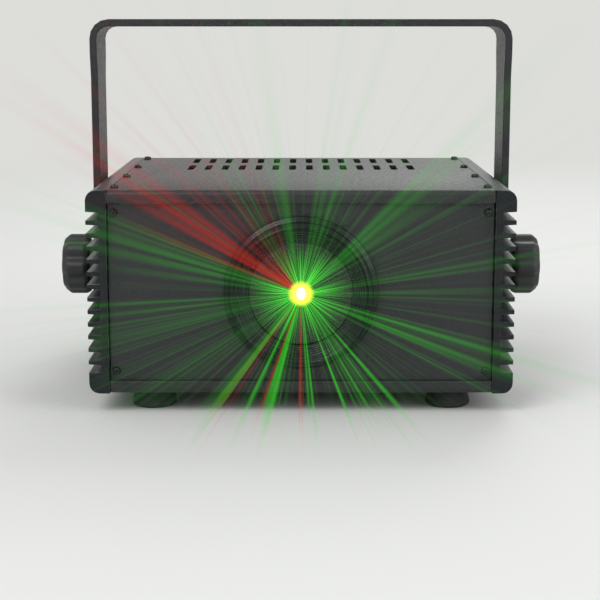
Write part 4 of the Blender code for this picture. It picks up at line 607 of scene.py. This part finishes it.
@surface("circuit_board", "solder_masked_board")
def circuit_board(add, place, look):
    """Solder-masked board: green with paler tracks, and black moulded parts above it."""
    tracks = add("TexVoronoi", named={"Vector": place, "Scale": 420.0}, distance="MANHATTAN")
    foot, blend = high_of("driver_board")[2] - 0.0170, 0.0002
    parts = add("MapRange", add("SeparateXYZ", place, out="Z"), foot - blend, foot + blend, 0, 1)
    green = add("Mix", add("MapRange", tracks, 0.3, 0.5, 0, 1), shade(look.board, 1.5),
                shade(look.board, 0.8), data_type="RGBA")
    return {"Base Color": add("Mix", parts, green, shade(look.gloss, 1.6), data_type="RGBA"),
            "Roughness": between(add, place, 0.002, 0.25, 0.5)}


@surface("fuse_glass", "fuse_glass_and_caps")
def fuse_glass(add, place, look):
    """Glass tube between plated caps: the ends read as metal, the middle as glass."""
    offset = add("Math", add("SeparateXYZ", place, out="Y"), middle_of("glass_fuse")[1],
                 operation="SUBTRACT")
    caps = add("MapRange", add("Math", offset, operation="ABSOLUTE"), 0.0048, 0.0052, 0, 1)
    return {"Base Color": add("Mix", caps, shade(linear("E4ECEC")), shade(look.nickel), data_type="RGBA"),
            "Metallic": caps,
            "Roughness": between(add, place, 0.001, 0.06, 0.2)}


@surface("window_glass", "lit_window_glass")
def lit_window(add, place, look):
    """Coated glass lit from behind: a white-hot point, a yellow ring, and green and red rays."""
    aperture = settings().aperture
    halo = aperture.halo_radius
    flat = from_axis(add, place, 0, AXIS_Z)
    radius = add("VectorMath", flat, operation="LENGTH")
    squeezed = add("VectorMath", flat, (2 / aperture.core_width, 0, 2 / aperture.core_height),
                   operation="MULTIPLY")
    hot = add("MapRange", add("VectorMath", squeezed, operation="LENGTH"), 1.25, 0.9, 0, 1)
    direction = add("VectorMath", flat, operation="NORMALIZE")
    fine = add("MapRange", grains(add, direction, 0.045, detail=3.0), 0.46, 0.66, 0.05, 1)
    broad = add("MapRange", grains(add, direction, 0.33, detail=1.0), 0.35, 0.65, 0.35, 1)
    fall = add("MapRange", radius, halo, aperture.ray_reach, 1, 0)
    fading = add("Math", fall, 1.8, operation="POWER")
    ray = add("Math", add("Math", fine, broad, operation="MULTIPLY"), fading, operation="MULTIPLY")
    upper_left = add("VectorMath", direction, (-0.77, 0, 0.64), operation="DOT_PRODUCT")
    tint = add("Mix", add("MapRange", upper_left, 0.955, 0.985, 0, 1), shade(aperture.green),
               shade(aperture.red), data_type="RGBA")
    rays = add("Mix", ray, (0, 0, 0, 1), tint, data_type="RGBA")
    glow = add("Math", add("MapRange", radius, halo * 1.25, halo * 0.45, 0, 1), 1.5, operation="POWER")
    ringed = add("Mix", glow, rays, shade(aperture.halo), data_type="RGBA")
    return {"Base Color": shade(linear("3A4438")),
            "Roughness": between(add, place, 0.003, 0.03, 0.07),
            "Transmission Weight": 0.9,
            "IOR": 1.5,
            "Emission Color": add("Mix", hot, ringed, shade(aperture.core), data_type="RGBA"),
            "Emission Strength": aperture.brightness}


@surface("lit_digit", "lit_red_segment")
def lit_digit(add, place, look):
    """Red display segment: moulded diffuser, lit evenly by the chip behind it."""
    edge, middle, light = (shade(linear(code)) for code in ("FF3A26", "FF6A4A", "FF2A14"))
    return {"Base Color": cloudy(add, place, 0.0015, edge, middle, 1.0),
            "Roughness": 0.4,
            "Emission Color": light,
            "Emission Strength": 2.5}


@surface("dark_digit", "unlit_segment")
def dark_digit(add, place, look):
    """Unlit display segment: a dull grey diffuser."""
    return {"Base Color": cloudy(add, place, 0.002, shade(linear("3A2A2A")), shade(linear("463030"))),
            "Roughness": 0.5}


@surface("ink", "screen_printed_ink")
def panel_ink(add, place, look):
    """Screen-printed epoxy ink: pale and matt, thin in spots that are drawn coarse enough to show."""
    return {"Base Color": cloudy(add, place, 0.0006, shade(look.ink, 0.8), shade(look.ink), 3.0),
            "Roughness": between(add, place, 0.0006, 0.5, 0.7, detail=3.0)}


ROUNDED = {**dict.fromkeys(("yoke_bracket", "front_panel", "safety_eye", "key_switch", *BUTTONS), 0.00025),
           **dict.fromkeys(("base_tray", "rear_panel", "dmx_in", "mains_inlet", "fuse_drawer"), 0.00015)}
NODE_FINISHES = {"dmx_out": "casting_with_insert", "dmx_latch": "bare_steel",
                 **dict.fromkeys(BUTTONS, "grey_keys")}


def weld_group():
    """Node group that welds a solid's loose triangles and shades them smooth up to a sharp edge."""
    group = bpy.data.node_groups.new("weld_and_smooth", "GeometryNodeTree")
    for way in ("INPUT", "OUTPUT"):
        group.interface.new_socket("Geometry", in_out=way, socket_type="NodeSocketGeometry")
    add = partial(add_node, group, "")
    bare = add("GeometryNodeRemoveAttribute", named={"Geometry": add("NodeGroupInput"),
                                                     "Name": "custom_normal"})
    merged = add("GeometryNodeMergeByDistance", named={"Geometry": bare, "Distance": 1e-5})
    smooth = add("GeometryNodeSetShadeSmooth", named={"Geometry": merged, "Shade Smooth": True},
                 domain="FACE")
    gentle = add("FunctionNodeCompare", add("GeometryNodeInputMeshEdgeAngle"), SHARP_ANGLE,
                 operation="LESS_THAN")
    add("NodeGroupOutput", add("GeometryNodeSetShadeSmooth", domain="EDGE",
                               named={"Geometry": smooth, "Shade Smooth": gentle}))
    return group


class PROJECTOR_OT_finish_solids(bpy.types.Operator):
    """Give every solid its material, weld its triangles and round its edges"""

    bl_idname = "projector.finish_solids"
    bl_label = "Finish Solids"

    def execute(self, context):
        group = weld_group()
        slots = {row["node"]: row["material_slot"] for row in frame["record"]["subparts"]}
        for name, item in frame["nodes"].items():
            item.material_slots[0].material = finish_named(NODE_FINISHES.get(name, slots[name]))
            item.modifiers.new("Weld", "NODES").node_group = group
            if name in ROUNDED:
                self.round_edges(item, ROUNDED[name])
        return {"FINISHED"}

    def round_edges(self, item, width):
        """Merge the triangles of each flat, then round the edges that turn by more than 60 degrees."""
        flat = item.modifiers.new("Flatten", "DECIMATE")
        flat.decimate_type = "DISSOLVE"
        flat.angle_limit = math.radians(0.5)
        edge = item.modifiers.new("Round", "BEVEL")
        edge.width = width
        edge.segments = 2
        edge.limit_method = "ANGLE"
        edge.angle_limit = math.radians(60)
        edge.use_clamp_overlap = False
        edge.harden_normals = True


class PROJECTOR_OT_make_bezel(bpy.types.Operator):
    """Turn the flared bezel, whose mouth steps outwards in fine rings that swallow stray light"""

    bl_idname = "projector.make_bezel"
    bl_label = "Bezel"

    steps = 7

    def execute(self, context):
        front = low_of("aperture_bezel")[1]
        rim, back, _ = high_of("aperture_bezel")
        window = high_of("aperture_window")[0]
        clear = window - 0.0035
        seat = WINDOW_FRONT - 0.0003
        reach = np.linspace(clear, clear + 0.0052, self.steps + 1)
        depth = np.linspace(seat - 0.0012, front + 0.0010, self.steps + 1)
        stairs = np.stack((np.repeat(reach, 2)[:-1], np.repeat(depth, 2)[1:]), -1)
        profile = [(window + 0.0003, back), (window + 0.0003, seat), (clear, seat), *stairs,
                   (clear + 0.0062, front), (rim - 0.0034, front), (rim - 0.0020, front + 0.0014),
                   (rim - 0.0020, back - 0.0036), (rim, back - 0.0028), (rim, back)]
        grid = turned(softened(profile, 0.0004), (0, 0, AXIS_Z), "Y", 144)
        add_piece("turned_bezel", [grid], "turned_black",
                  replaces=["aperture_bezel"], wrap_rows=True)
        return {"FINISHED"}


class PROJECTOR_OT_make_knobs(bpy.types.Operator):
    """Mould the two fluted clamp knobs, each with its steel stud and cap"""

    bl_idname = "projector.make_knobs"
    bl_label = "Clamp Knobs"

    lobes = 8
    lobe_depth = 0.14

    def execute(self, context):
        near = high_of("yoke_bracket")[0] + 0.0003
        far = high_of("tilt_knob_right")[0]
        angle = np.linspace(0, math.tau, 192, endpoint=False)
        scallop = ((1 - np.cos(self.lobes * angle)) / 2) ** 1.6
        dish = softened([(0, far - 0.0014), (0.0045, far - 0.0014), (0.0045, far - 0.0008),
                         (0.0022, far - 0.0008), (0.0018, far - 0.0012), (0, far - 0.0012)],
                        0.0003, 4, closed=False)
        for hand, side in (("left", -1), ("right", 1)):
            node = f"tilt_knob_{hand}"
            radius = high_of(node)[2] - AXIS_Z
            y = middle_of(node)[1]
            profile = [(0, near), (0.0095, near), (0.0095, near + 0.003), (radius - 0.0010, near + 0.0032),
                       (radius, near + 0.0050), (radius, far - 0.0026), (radius - 0.0022, far),
                       (radius - 0.0060, far), (radius - 0.0068, far - 0.0010), (0, far - 0.0012)]
            soft = softened(profile, 0.0008, 6, closed=False)
            fluted = np.clip((soft[:, 0] - radius + 0.0045) / 0.0045, 0, 1) ** 0.8
            fluted = fluted * (soft[:, 1] > near + 0.0030)
            shape = 1 - fluted[:, None] * scallop * self.lobe_depth
            grip = turned(soft * (1, side), (0, y, AXIS_Z), "X", 192, shape)
            inner = low_of(node)[0] if side > 0 else high_of(node)[0]
            stud = bar((inner, y, AXIS_Z), (side * (near + 0.002), y, AXIS_Z), 0.003, 24)
            cap = turned(dish * (1, side), (0, y, AXIS_Z), "X", 48)
            add_piece(f"knob_grip_{hand}", [grip], "black_nylon", node, replaces=[node])
            add_piece(f"knob_stud_{hand}", [stud], "bare_steel", node)
            add_piece(f"knob_cap_{hand}", [cap], "bare_steel", node)
        return {"FINISHED"}


class PROJECTOR_OT_make_feet(bpy.types.Operator):
    """Mould the four rubber feet, each with a rolled edge and a screw well"""

    bl_idname = "projector.make_feet"
    bl_label = "Feet"

    def execute(self, context):
        for foot in FEET:
            x, y, _ = middle_of(foot)
            top = high_of(foot)[2]
            radius = high_of(foot)[0] - x
            profile = [(0, FOOT_SCREW_Z), (0.0035, FOOT_SCREW_Z), (0.0035, 0), (radius - 0.0012, 0),
                       (radius, 0.0012), (radius - 0.0004, 0.0030), (radius - 0.0015, top), (0, top)]
            grid = turned(softened(profile, 0.0006, closed=False), (x, y, 0), "Z", 64)
            add_piece("rubber_" + foot, [grid], "rubber", replaces=[foot])
        return {"FINISHED"}


class PROJECTOR_OT_make_guard(bpy.types.Operator):
    """Weld the fan guard from round wire: three rings on four spokes that end in eyes"""

    bl_idname = "projector.make_guard"
    bl_label = "Fan Guard"

    radii = (0.0065, 0.0115, 0.0165)
    eye_radius = 0.00305

    def execute(self, context):
        wire = settings().fixing.guard_wire
        x, _, z = middle_of("fan_guard")
        spoke_y = low_of("fan_guard")[1] + wire
        ring_y = high_of("fan_guard")[1] - wire
        grids = [ring(radius, wire, (x, ring_y, z), "Y") for radius in self.radii]
        eye = softened([(0.0017, -wire), (self.eye_radius, -wire), (self.eye_radius, wire),
                        (0.0017, wire)], 0.0006)
        eye = np.concatenate((eye, eye[:1]))
        for corner in four_round(x, z, FAN_SCREW, FAN_SCREW, spoke_y):
            outwards = (corner - (x, spoke_y, z)) / (FAN_SCREW * math.sqrt(2))
            start = (x, spoke_y, z) + outwards * (self.radii[0] - 0.0004)
            grids += [bar(start, corner - outwards * 0.0018, wire * 0.95), turned(eye, corner, "Y", 32)]
        add_piece("wire_guard", grids, "guard_wire", replaces=["fan_guard"])
        return {"FINISHED"}


class PROJECTOR_OT_make_screws(bpy.types.Operator):
    """Place the screws of the cover, tray, panels, sockets, guard, safety eye and feet"""

    bl_idname = "projector.make_screws"
    bl_label = "Screws"

    cover_inset = 0.010
    panel_reach = 0.0312
    socket_reach = (0.0095, 0.0120)
    eye_leg = (0.0058, 0.0030, 0.0031)

    def execute(self, context):
        fixing = settings().fixing
        low, high = low_of("top_cover"), high_of("top_cover")
        edge = high[0] - fixing.cover_screw / 2 - 0.0002
        end = high_of("rear_panel")[0] - fixing.panel_screw / 2 - 0.0008
        steps = np.linspace(low[1] + self.cover_inset, high[1] - self.cover_inset, 4)
        rows = [(x, y) for x in (-edge, edge) for y in steps]
        sockets = [(middle_of(node)[0] + side * self.socket_reach[0], high_of(node)[1],
                    SOCKET_Z - side * self.socket_reach[1])
                   for node in ("dmx_in", "dmx_out") for side in SIDES]
        eye = (middle_of("safety_eye")[0], *low_of("safety_eye")[1:])
        legs = [np.add(eye, self.eye_leg * np.array((side, 1, 1))) for side in SIDES]
        x, _, z = middle_of("fan_guard")
        eyes = four_round(x, z, FAN_SCREW, FAN_SCREW, low_of("fan_guard")[1] + 2 * fixing.guard_wire)
        ends = (0, AXIS_Z, end, self.panel_reach)
        wide = (fixing.cover_screw, fixing.head_height, "hexagon", "dark_steel")
        small = (fixing.panel_screw, fixing.head_height, "cross", "dark_steel")
        groups = (
            ("cover_screws", [(*place, high[2]) for place in rows], "Z", 1, *wide),
            ("tray_screws", [(*place, low_of("base_tray")[2]) for place in rows], "Z", -1, *wide),
            ("front_screws", four_round(*ends, low_of("front_panel")[1]), "Y", -1, *small),
            ("rear_screws", four_round(*ends, PANEL_BACK), "Y", 1, *small),
            ("socket_screws", sockets, "Y", 1, 0.0054, 0.0013, "cross", "bare_steel"),
            ("guard_screws", eyes, "Y", 1, 0.0052, 0.0015, "cross", "bare_steel"),
            ("safety_eye_screws", legs, "Y", 1, 0.0042, 0.0015, "hexagon", "bare_steel"),
            ("foot_screws", [(*middle_of(foot)[:2], FOOT_SCREW_Z) for foot in FEET], "Z", -1,
             fixing.foot_screw, 0.0018, "cross", "bare_steel"),
        )
        for name, places, axis, direction, width, height, recess, finish in groups:
            heads = [screw_head(place, axis, direction, width, height, recess) for place in places]
            add_piece(name, heads, finish)
        return {"FINISHED"}


class PROJECTOR_OT_make_contacts(bpy.types.Operator):
    """Fit the control sockets' pins, sleeves and insert, and the blades of the mains inlet"""

    bl_idname = "projector.make_contacts"
    bl_label = "Contacts"

    pin_circle = 0.0047

    def execute(self, context):
        seat = np.array((middle_of("dmx_in")[0], high_of("dmx_in")[1] - 0.015, SOCKET_Z))
        pins = [bar((x, seat[1] - 0.0003, z), (x, seat[1] + 0.0097, z), 0.0013, 20, 0.8)
                for x, z in self.pin_places("dmx_in")]
        add_piece("control_pins", pins, "brass")
        tube = softened([(0.0008, -0.006), (0.00125, -0.006), (0.00125, -0.0002), (0.0008, -0.0002)],
                        0.0001)
        sleeves = [turned(tube, (x, high_of("dmx_out")[1] - 0.0012, z), "Y", 32)
                   for x, z in self.pin_places("dmx_out")]
        add_piece("output_contacts", sleeves, "brass", wrap_rows=True)
        insert = softened([(0, 0.0001), (0.00925, 0.0001), (0.00925, 0.0007), (0.0086, 0.0012),
                           (0, 0.0012)], 0.0002, closed=False)
        key_way = softened(box_outline(0.0030, 0.0016, (0, 0.0084)), 0.0004)
        add_piece("control_insert", [turned(insert, seat, "Y", 64), patch(key_way, seat, UP, 0.0135)],
                  "black_nylon")
        inlet = (middle_of("fuse_drawer")[0], high_of("mains_inlet")[1] - 0.0163,
                 middle_of("mains_inlet")[2] - 0.0055)
        blade = softened(box_outline(0.0022, 0.0042), 0.0005)
        blades = [patch(blade, np.add(inlet, (across, 0, rise)), UP, 0.0098)
                  for across, rise in ((-0.007, -0.0015), (0.007, -0.0015), (0, 0.003))]
        add_piece("inlet_blades", blades, "zinc_casting")
        return {"FINISHED"}

    def pin_places(self, node):
        """Where a three-pole socket's contacts lie: left, right and below."""
        x, far = middle_of(node)[0], self.pin_circle
        return (x - far, SOCKET_Z), (x + far, SOCKET_Z), (x, SOCKET_Z - far)


class PROJECTOR_OT_make_digits(bpy.types.Operator):
    """Set four seven-segment digits behind the display lens, lit where the number needs them"""

    bl_idname = "projector.make_digits"
    bl_label = "Display Digits"

    stroke = 0.0009
    segment = 0.0032
    pitch = 0.0056
    shown = {"0": "abcdef", "1": "bc", " ": ""}

    def execute(self, context):
        x, _, z = middle_of("display_window")
        origin = (x, low_of("display_window")[1] - 0.00028, z)
        lit = []
        dark = []
        for place, digit in enumerate(" 001"):
            for name, outline in self.segments((place - 1.5) * self.pitch).items():
                grid = patch(outline, origin, UP, 0.0001)
                (lit if name in self.shown[digit] else dark).append(grid)
        add_piece("digits_lit", lit, "lit_digit")
        add_piece("digits_dark", dark, "dark_digit")
        return {"FINISHED"}

    def segments(self, across):
        """The outlines of one digit's seven strokes, each a bar with pointed ends."""
        reach = self.segment / 2
        half = self.stroke / 2
        level = np.array([(-reach, 0), (half - reach, -half), (reach - half, -half), (reach, 0),
                          (reach - half, half), (half - reach, half)]) * 0.96
        places = {"a": (0, 2), "d": (0, -2), "g": (0, 0), "b": (1, 1), "c": (1, -1), "e": (-1, -1),
                  "f": (-1, 1)}
        return {name: (level[:, ::-1] if column else level) + (across + column * reach, row * reach)
                for name, (column, row) in places.items()}


class PROJECTOR_OT_print_marks(bpy.types.Operator):
    """Print the marks at the dial, lock, buttons and rocker, and fill the dial's pointer"""

    bl_idname = "projector.print_marks"
    bl_label = "Printed Marks"

    ink_height = 0.00008
    rise = 0.0048  # of a button's mark over its middle
    rocker_tilt = math.radians(9)

    def execute(self, context):
        dial, lock = middle_of("sensitivity_dial"), middle_of("key_switch")
        lines, down, up, dot = (middle_of(button) for button in reversed(BUTTONS))
        tick = box_outline(0.0004, 0.0012, (0, 0.0086))
        arrow = np.array([(-0.001, -0.0008), (0.001, -0.0008), (0, 0.0009)])
        marks = (
            *((tick @ self.turn(-angle), dial) for angle in np.radians(np.linspace(-150, 150, 11))),
            (box_outline(0.0005, 0.0022, (0, 0.0114)), lock),
            (round_outline(0.0012, (-0.0118, 0)), lock, round_outline(0.0008, (-0.0118, 0))),
            *((box_outline(0.0020, 0.0003, (0, self.rise + level)), lines)
              for level in (-0.0007, 0, 0.0007)),
            (arrow * (1, -1) + (0, self.rise), down),
            (arrow + (0, self.rise), up),
            (round_outline(0.0010, (0, self.rise)), dot, round_outline(0.0006, (0, self.rise))),
        )
        add_piece("panel_marks", [self.mark(*mark) for mark in marks], "ink")
        tip = (dial[0], high_of("sensitivity_dial")[1] - 0.0005, dial[2])
        pointer = patch(box_outline(0.0010, 0.0046, (0, 0.0028)), tip, UP, 0.00045)
        add_piece("dial_pointer", [pointer], "ink", "sensitivity_dial")
        add_piece("rocker_marks", self.rocker_marks(), "ink", "power_rocker")
        return {"FINISHED"}

    def turn(self, angle):
        """The matrix whose rows turn a row of two coordinates by an angle."""
        return np.array(((math.cos(angle), math.sin(angle)), (-math.sin(angle), math.cos(angle))))

    def mark(self, outline, place, hole=None):
        """Ink on the rear panel, laid out as seen from behind."""
        return patch(outline, (place[0], PANEL_BACK, place[2]), UP, self.ink_height, hole)

    def rocker_marks(self):
        """A bar on the rocker's pressed end and a ring on the other, on its two sloped faces.

        Each face runs from (depth, height) = (3.3, 2.38) mm to (4.5, 6.8) mm, mirrored for the
        lower one, and is then turned about the rocker's axle by its tilt.
        """
        x, _, z = middle_of("power_switch_frame")
        pivot = np.array((x, high_of("power_switch_frame")[1] - 0.0015, z))
        shapes = ((1, box_outline(0.0005, 0.0024), None),
                  (-1, round_outline(0.0013), round_outline(0.0009)))
        grids = []
        for side, outline, hole in shapes:
            middle = (0.0039, side * 0.00459) @ self.turn(self.rocker_tilt)
            slope = (0.0012, side * 0.00442) @ self.turn(self.rocker_tilt)
            up = np.array((0, *slope)) / np.linalg.norm(slope) * side
            grids.append(patch(outline, pivot + (0, *middle), up, self.ink_height, hole))
        return grids


class PROJECTOR_OT_show_beams(bpy.types.Operator):
    """Show the light that leaves the window as faint fans of thin beams in haze"""

    bl_idname = "projector.show_beams"
    bl_label = "Beams"

    columns = 1440
    cones = ((72, 1.0), (56, 0.9), (38, 0.8))
    wide = ((47, 1.2, 0.8), (16, 0.4, 0.55), (-14, 0.6, 0.95), (-46, 0.5, 0.9), (-57, 0.4, 0.7),
            (-66, 0.4, 0.8), (-84, 0.5, 0.8), (-107, 1.0, 1.0), (-118, 0.4, 0.8), (-132, 0.5, 0.9),
            (180, 0.4, 0.6), (154, 0.4, 0.6), (160, 0.9, 0.6), (118, 0.4, 0.5), (98, 1.2, 0.45),
            (81, 0.6, 0.6), (73, 0.6, 0.6))
    reds = ((140, 1.2, 0.9), (145, 0.8, 0.9), (132, 0.5, 0.6), (124, 0.5, 0.5), (112, 0.4, 0.4),
            (-90, 0.3, 0.7), (-111, 0.3, 0.6), (-130, 0.3, 0.6))

    def execute(self, context):
        aperture = settings().aperture
        random = np.random.default_rng(11)
        angle = np.linspace(0, math.tau, self.columns, endpoint=False)
        stations = np.linspace(0, 1, 20)[:, None] ** 1.4
        haze = self.haze()
        for index, (opening, share) in enumerate(self.cones):
            reach = aperture.halo_radius + stations * aperture.beam_reach * share
            spread = reach * math.sin(math.radians(opening))
            forward = WINDOW_FRONT - reach * math.cos(math.radians(opening))
            grid = placed(spread * np.cos(angle), AXIS_Z + spread * np.sin(angle), forward, "Y")
            green = self.rays(random, angle, self.wide, aperture.beam_count // 3, 0.45)
            red = self.rays(random, angle, self.reds, aperture.red_count // 3, 0.25, (105, 150))
            mesh = mesh_of(f"beams_{index}", [grid])
            mesh.materials.append(haze)
            self.paint(mesh, green, red, aperture)
            beams = link(f"light_in_haze_{index}", mesh)
            beams.visible_shadow = beams.visible_diffuse = False
        return {"FINISHED"}

    def rays(self, random, angle, table, count, strength, span=(-180, 180)):
        """Strength by angle: the highest of bell curves at the tabled angles and at random ones."""
        extra = np.stack((random.uniform(*span, count), random.uniform(0.12, 0.4, count),
                          random.uniform(0.3, 1, count) ** 2 * strength), -1)
        known = np.array(table, float)
        known[:, 0] += random.normal(0, 1.2, len(table))
        place, width, height = np.concatenate((known, extra)).T[..., None]
        away = (np.degrees(angle) - place + 180) % 360 - 180
        return (height * np.exp(-0.5 * (away / width) ** 2)).max(0)

    def paint(self, mesh, green, red, aperture):
        """Write each point's colour, and its cover as the fourth channel, which fades outwards."""
        points = np.empty((len(mesh.vertices), 3))
        mesh.vertices.foreach_get("co", points.ravel())
        across, up = points[:, 0], points[:, 2] - AXIS_Z
        far = np.hypot(across, up)
        column = np.round(np.arctan2(up, across) / math.tau * self.columns).astype(int) % self.columns
        share = np.clip((far - far.min()) / (far.max() - far.min()), 0, 1)
        fading = (1 - share) ** 1.3 * np.clip(share / 0.015, 0, 1)
        downwards = 0.75 - 0.25 * up / np.maximum(far, 1e-6)
        foot = np.clip(points[:, 2] / aperture.beam_floor, 0, 1)
        light = np.maximum(green, red)[column] * fading * downwards
        cover = np.clip(light, 0, 1) * aperture.beam_cover * foot
        tint = np.where((red > green)[column][:, None], np.array(aperture.red), np.array(aperture.green))
        layer = mesh.attributes.new("light", "FLOAT_COLOR", "POINT")
        layer.data.foreach_set("color", np.concatenate((tint, cover[:, None]), 1).ravel())

    def haze(self):
        """Lit haze: clear where no beam passes, and the laser's colour where one does."""
        material, add, _ = new_material("lit_haze")
        light = add("Attribute", out="Color", attribute_name="light")
        add("OutputMaterial", add("MixShader", light.node.outputs["Alpha"], add("BsdfTransparent"),
                                  add("Emission", light, 1.0)))
        return material


class PROJECTOR_OT_set_stage(bpy.types.Operator):
    """Set the floor, the lamps, the surroundings and the camera"""

    bl_idname = "projector.set_stage"
    bl_label = "Stage"

    even_from = (0.35, 1.2)
    floor_radii = (0.001, 0.1, 0.3, 0.6, 1.2, 2.5, 5.0, 10.0, 20.0)

    def execute(self, context):
        stage = settings().stage
        self.make_floor(stage)
        self.make_world(context.scene, stage)
        self.add_lamp("key_lamp", (-0.55, -0.85, 0.95), 0.7, stage.key)
        self.add_lamp("fill_lamp", (0.9, -0.6, 0.5), 0.7, stage.fill)
        self.add_lamp("rim_lamp", (0.3, 0.9, 0.9), 0.6, stage.rim)
        self.add_camera(context.scene, stage)
        context.scene.view_settings.view_transform = "Standard"
        return {"FINISHED"}

    def make_floor(self, stage):
        """Round flat floor: rings of growing radius. Far off it takes the background's own tone."""
        mesh = mesh_of("floor", [turned([(radius, 0) for radius in self.floor_radii], (0, 0, 0), "Z", 64)])
        material, add, place = new_material("matt_paper_floor")
        tone = cloudy(add, place, 0.3, shade(stage.floor, 0.985), shade(stage.floor))
        far = add("MapRange", add("VectorMath", place, operation="LENGTH"), *self.even_from, 0, 1)
        factor = add("Math", far, self.seen(add), operation="MULTIPLY")
        add("OutputMaterial",
            add("MixShader", factor, add("BsdfPrincipled", named={"Base Color": tone, "Roughness": 0.8}),
                add("Emission", shade(stage.floor), 1.0)))
        mesh.materials.append(material)
        link("paper_floor", mesh)

    def seen(self, add):
        """1 for rays from the camera, from gloss and through glass, so that all see one background."""
        camera = add("LightPath", out="Is Camera Ray")
        gloss, glass = (camera.node.outputs[f"Is {kind} Ray"] for kind in ("Glossy", "Transmission"))
        return add("Math", add("Math", camera, gloss, operation="MAXIMUM"), glass, operation="MAXIMUM")

    def make_world(self, scene, stage):
        """Even pale surroundings, which the eye and gloss see in the floor's tone."""
        scene.world = bpy.data.worlds.new("soft_surroundings")
        scene.world.use_nodes = True
        scene.world.node_tree.nodes.clear()
        add = partial(add_node, scene.world.node_tree, "ShaderNode")
        add("OutputWorld", add("MixShader", self.seen(add),
                               add("Background", shade(linear("F2F4F6")), stage.world),
                               add("Background", shade(stage.floor), 1.0)))

    def add_lamp(self, name, place, size, power):
        """A square soft lamp that looks at the projector."""
        data = bpy.data.lights.new(name, "AREA")
        data.size = size
        data.energy = power
        lamp = link(name, data)
        lamp.location = place
        lamp.rotation_euler = self.facing(Vector((0, 0, AXIS_Z)) - Vector(place))

    def add_camera(self, scene, stage):
        """The camera looks at the window from the photograph's angle."""
        data = bpy.data.cameras.new("camera")
        data.lens = stage.lens
        data.shift_x = (IMAGE_SIZE / 2 - SOURCE_PIXEL[0]) / IMAGE_SIZE
        data.shift_y = (SOURCE_PIXEL[1] - IMAGE_SIZE / 2) / IMAGE_SIZE
        data.clip_start = 0.01
        scene.camera = link("camera", data)
        level = math.cos(stage.elevation)
        back = Vector((math.sin(stage.azimuth) * level, -math.cos(stage.azimuth) * level,
                       math.sin(stage.elevation)))
        scene.camera.location = Vector((0, WINDOW_FRONT, AXIS_Z)) + back * stage.distance
        scene.camera.rotation_euler = self.facing(-back)

    def facing(self, direction):
        """The rotation of a lamp or camera that looks in a direction."""
        return direction.to_track_quat("-Z", "Y").to_euler()


class PROJECTOR_PT_panel(bpy.types.Panel):
    """Sidebar panel with the settings and the steps"""

    bl_label = "Laser Effect Projector"
    bl_idname = "PROJECTOR_PT_panel"
    bl_space_type = "VIEW_3D"
    bl_region_type = "UI"
    bl_category = "Projector"

    def draw(self, context):
        projector = context.scene.projector
        for group in (projector.finish, projector.aperture, projector.fixing, projector.stage):
            box = self.layout.box()
            for name in group.__annotations__:
                box.prop(group, name)
        for step in STEPS:
            self.layout.operator(step.bl_idname)


STEPS = (
    PROJECTOR_OT_finish_solids,
    PROJECTOR_OT_make_bezel,
    PROJECTOR_OT_make_knobs,
    PROJECTOR_OT_make_feet,
    PROJECTOR_OT_make_guard,
    PROJECTOR_OT_make_screws,
    PROJECTOR_OT_make_contacts,
    PROJECTOR_OT_make_digits,
    PROJECTOR_OT_print_marks,
    PROJECTOR_OT_show_beams,
    PROJECTOR_OT_set_stage,
)
CLASSES = (FinishSettings, ApertureSettings, FixingSettings, StageSettings, ProjectorSettings, *STEPS,
           PROJECTOR_PT_panel)


def register():
    """Register the classes and the scene's settings."""
    for item in CLASSES:
        bpy.utils.register_class(item)
    bpy.types.Scene.projector = PointerProperty(type=ProjectorSettings)


def unregister():
    """Take them away again."""
    del bpy.types.Scene.projector
    for item in reversed(CLASSES):
        bpy.utils.unregister_class(item)


def main():
    """Run every step in order."""
    register()
    for step in STEPS:
        family, action = step.bl_idname.split(".")
        getattr(getattr(bpy.ops, family), action)()


if __name__ == "__main__":
    main()
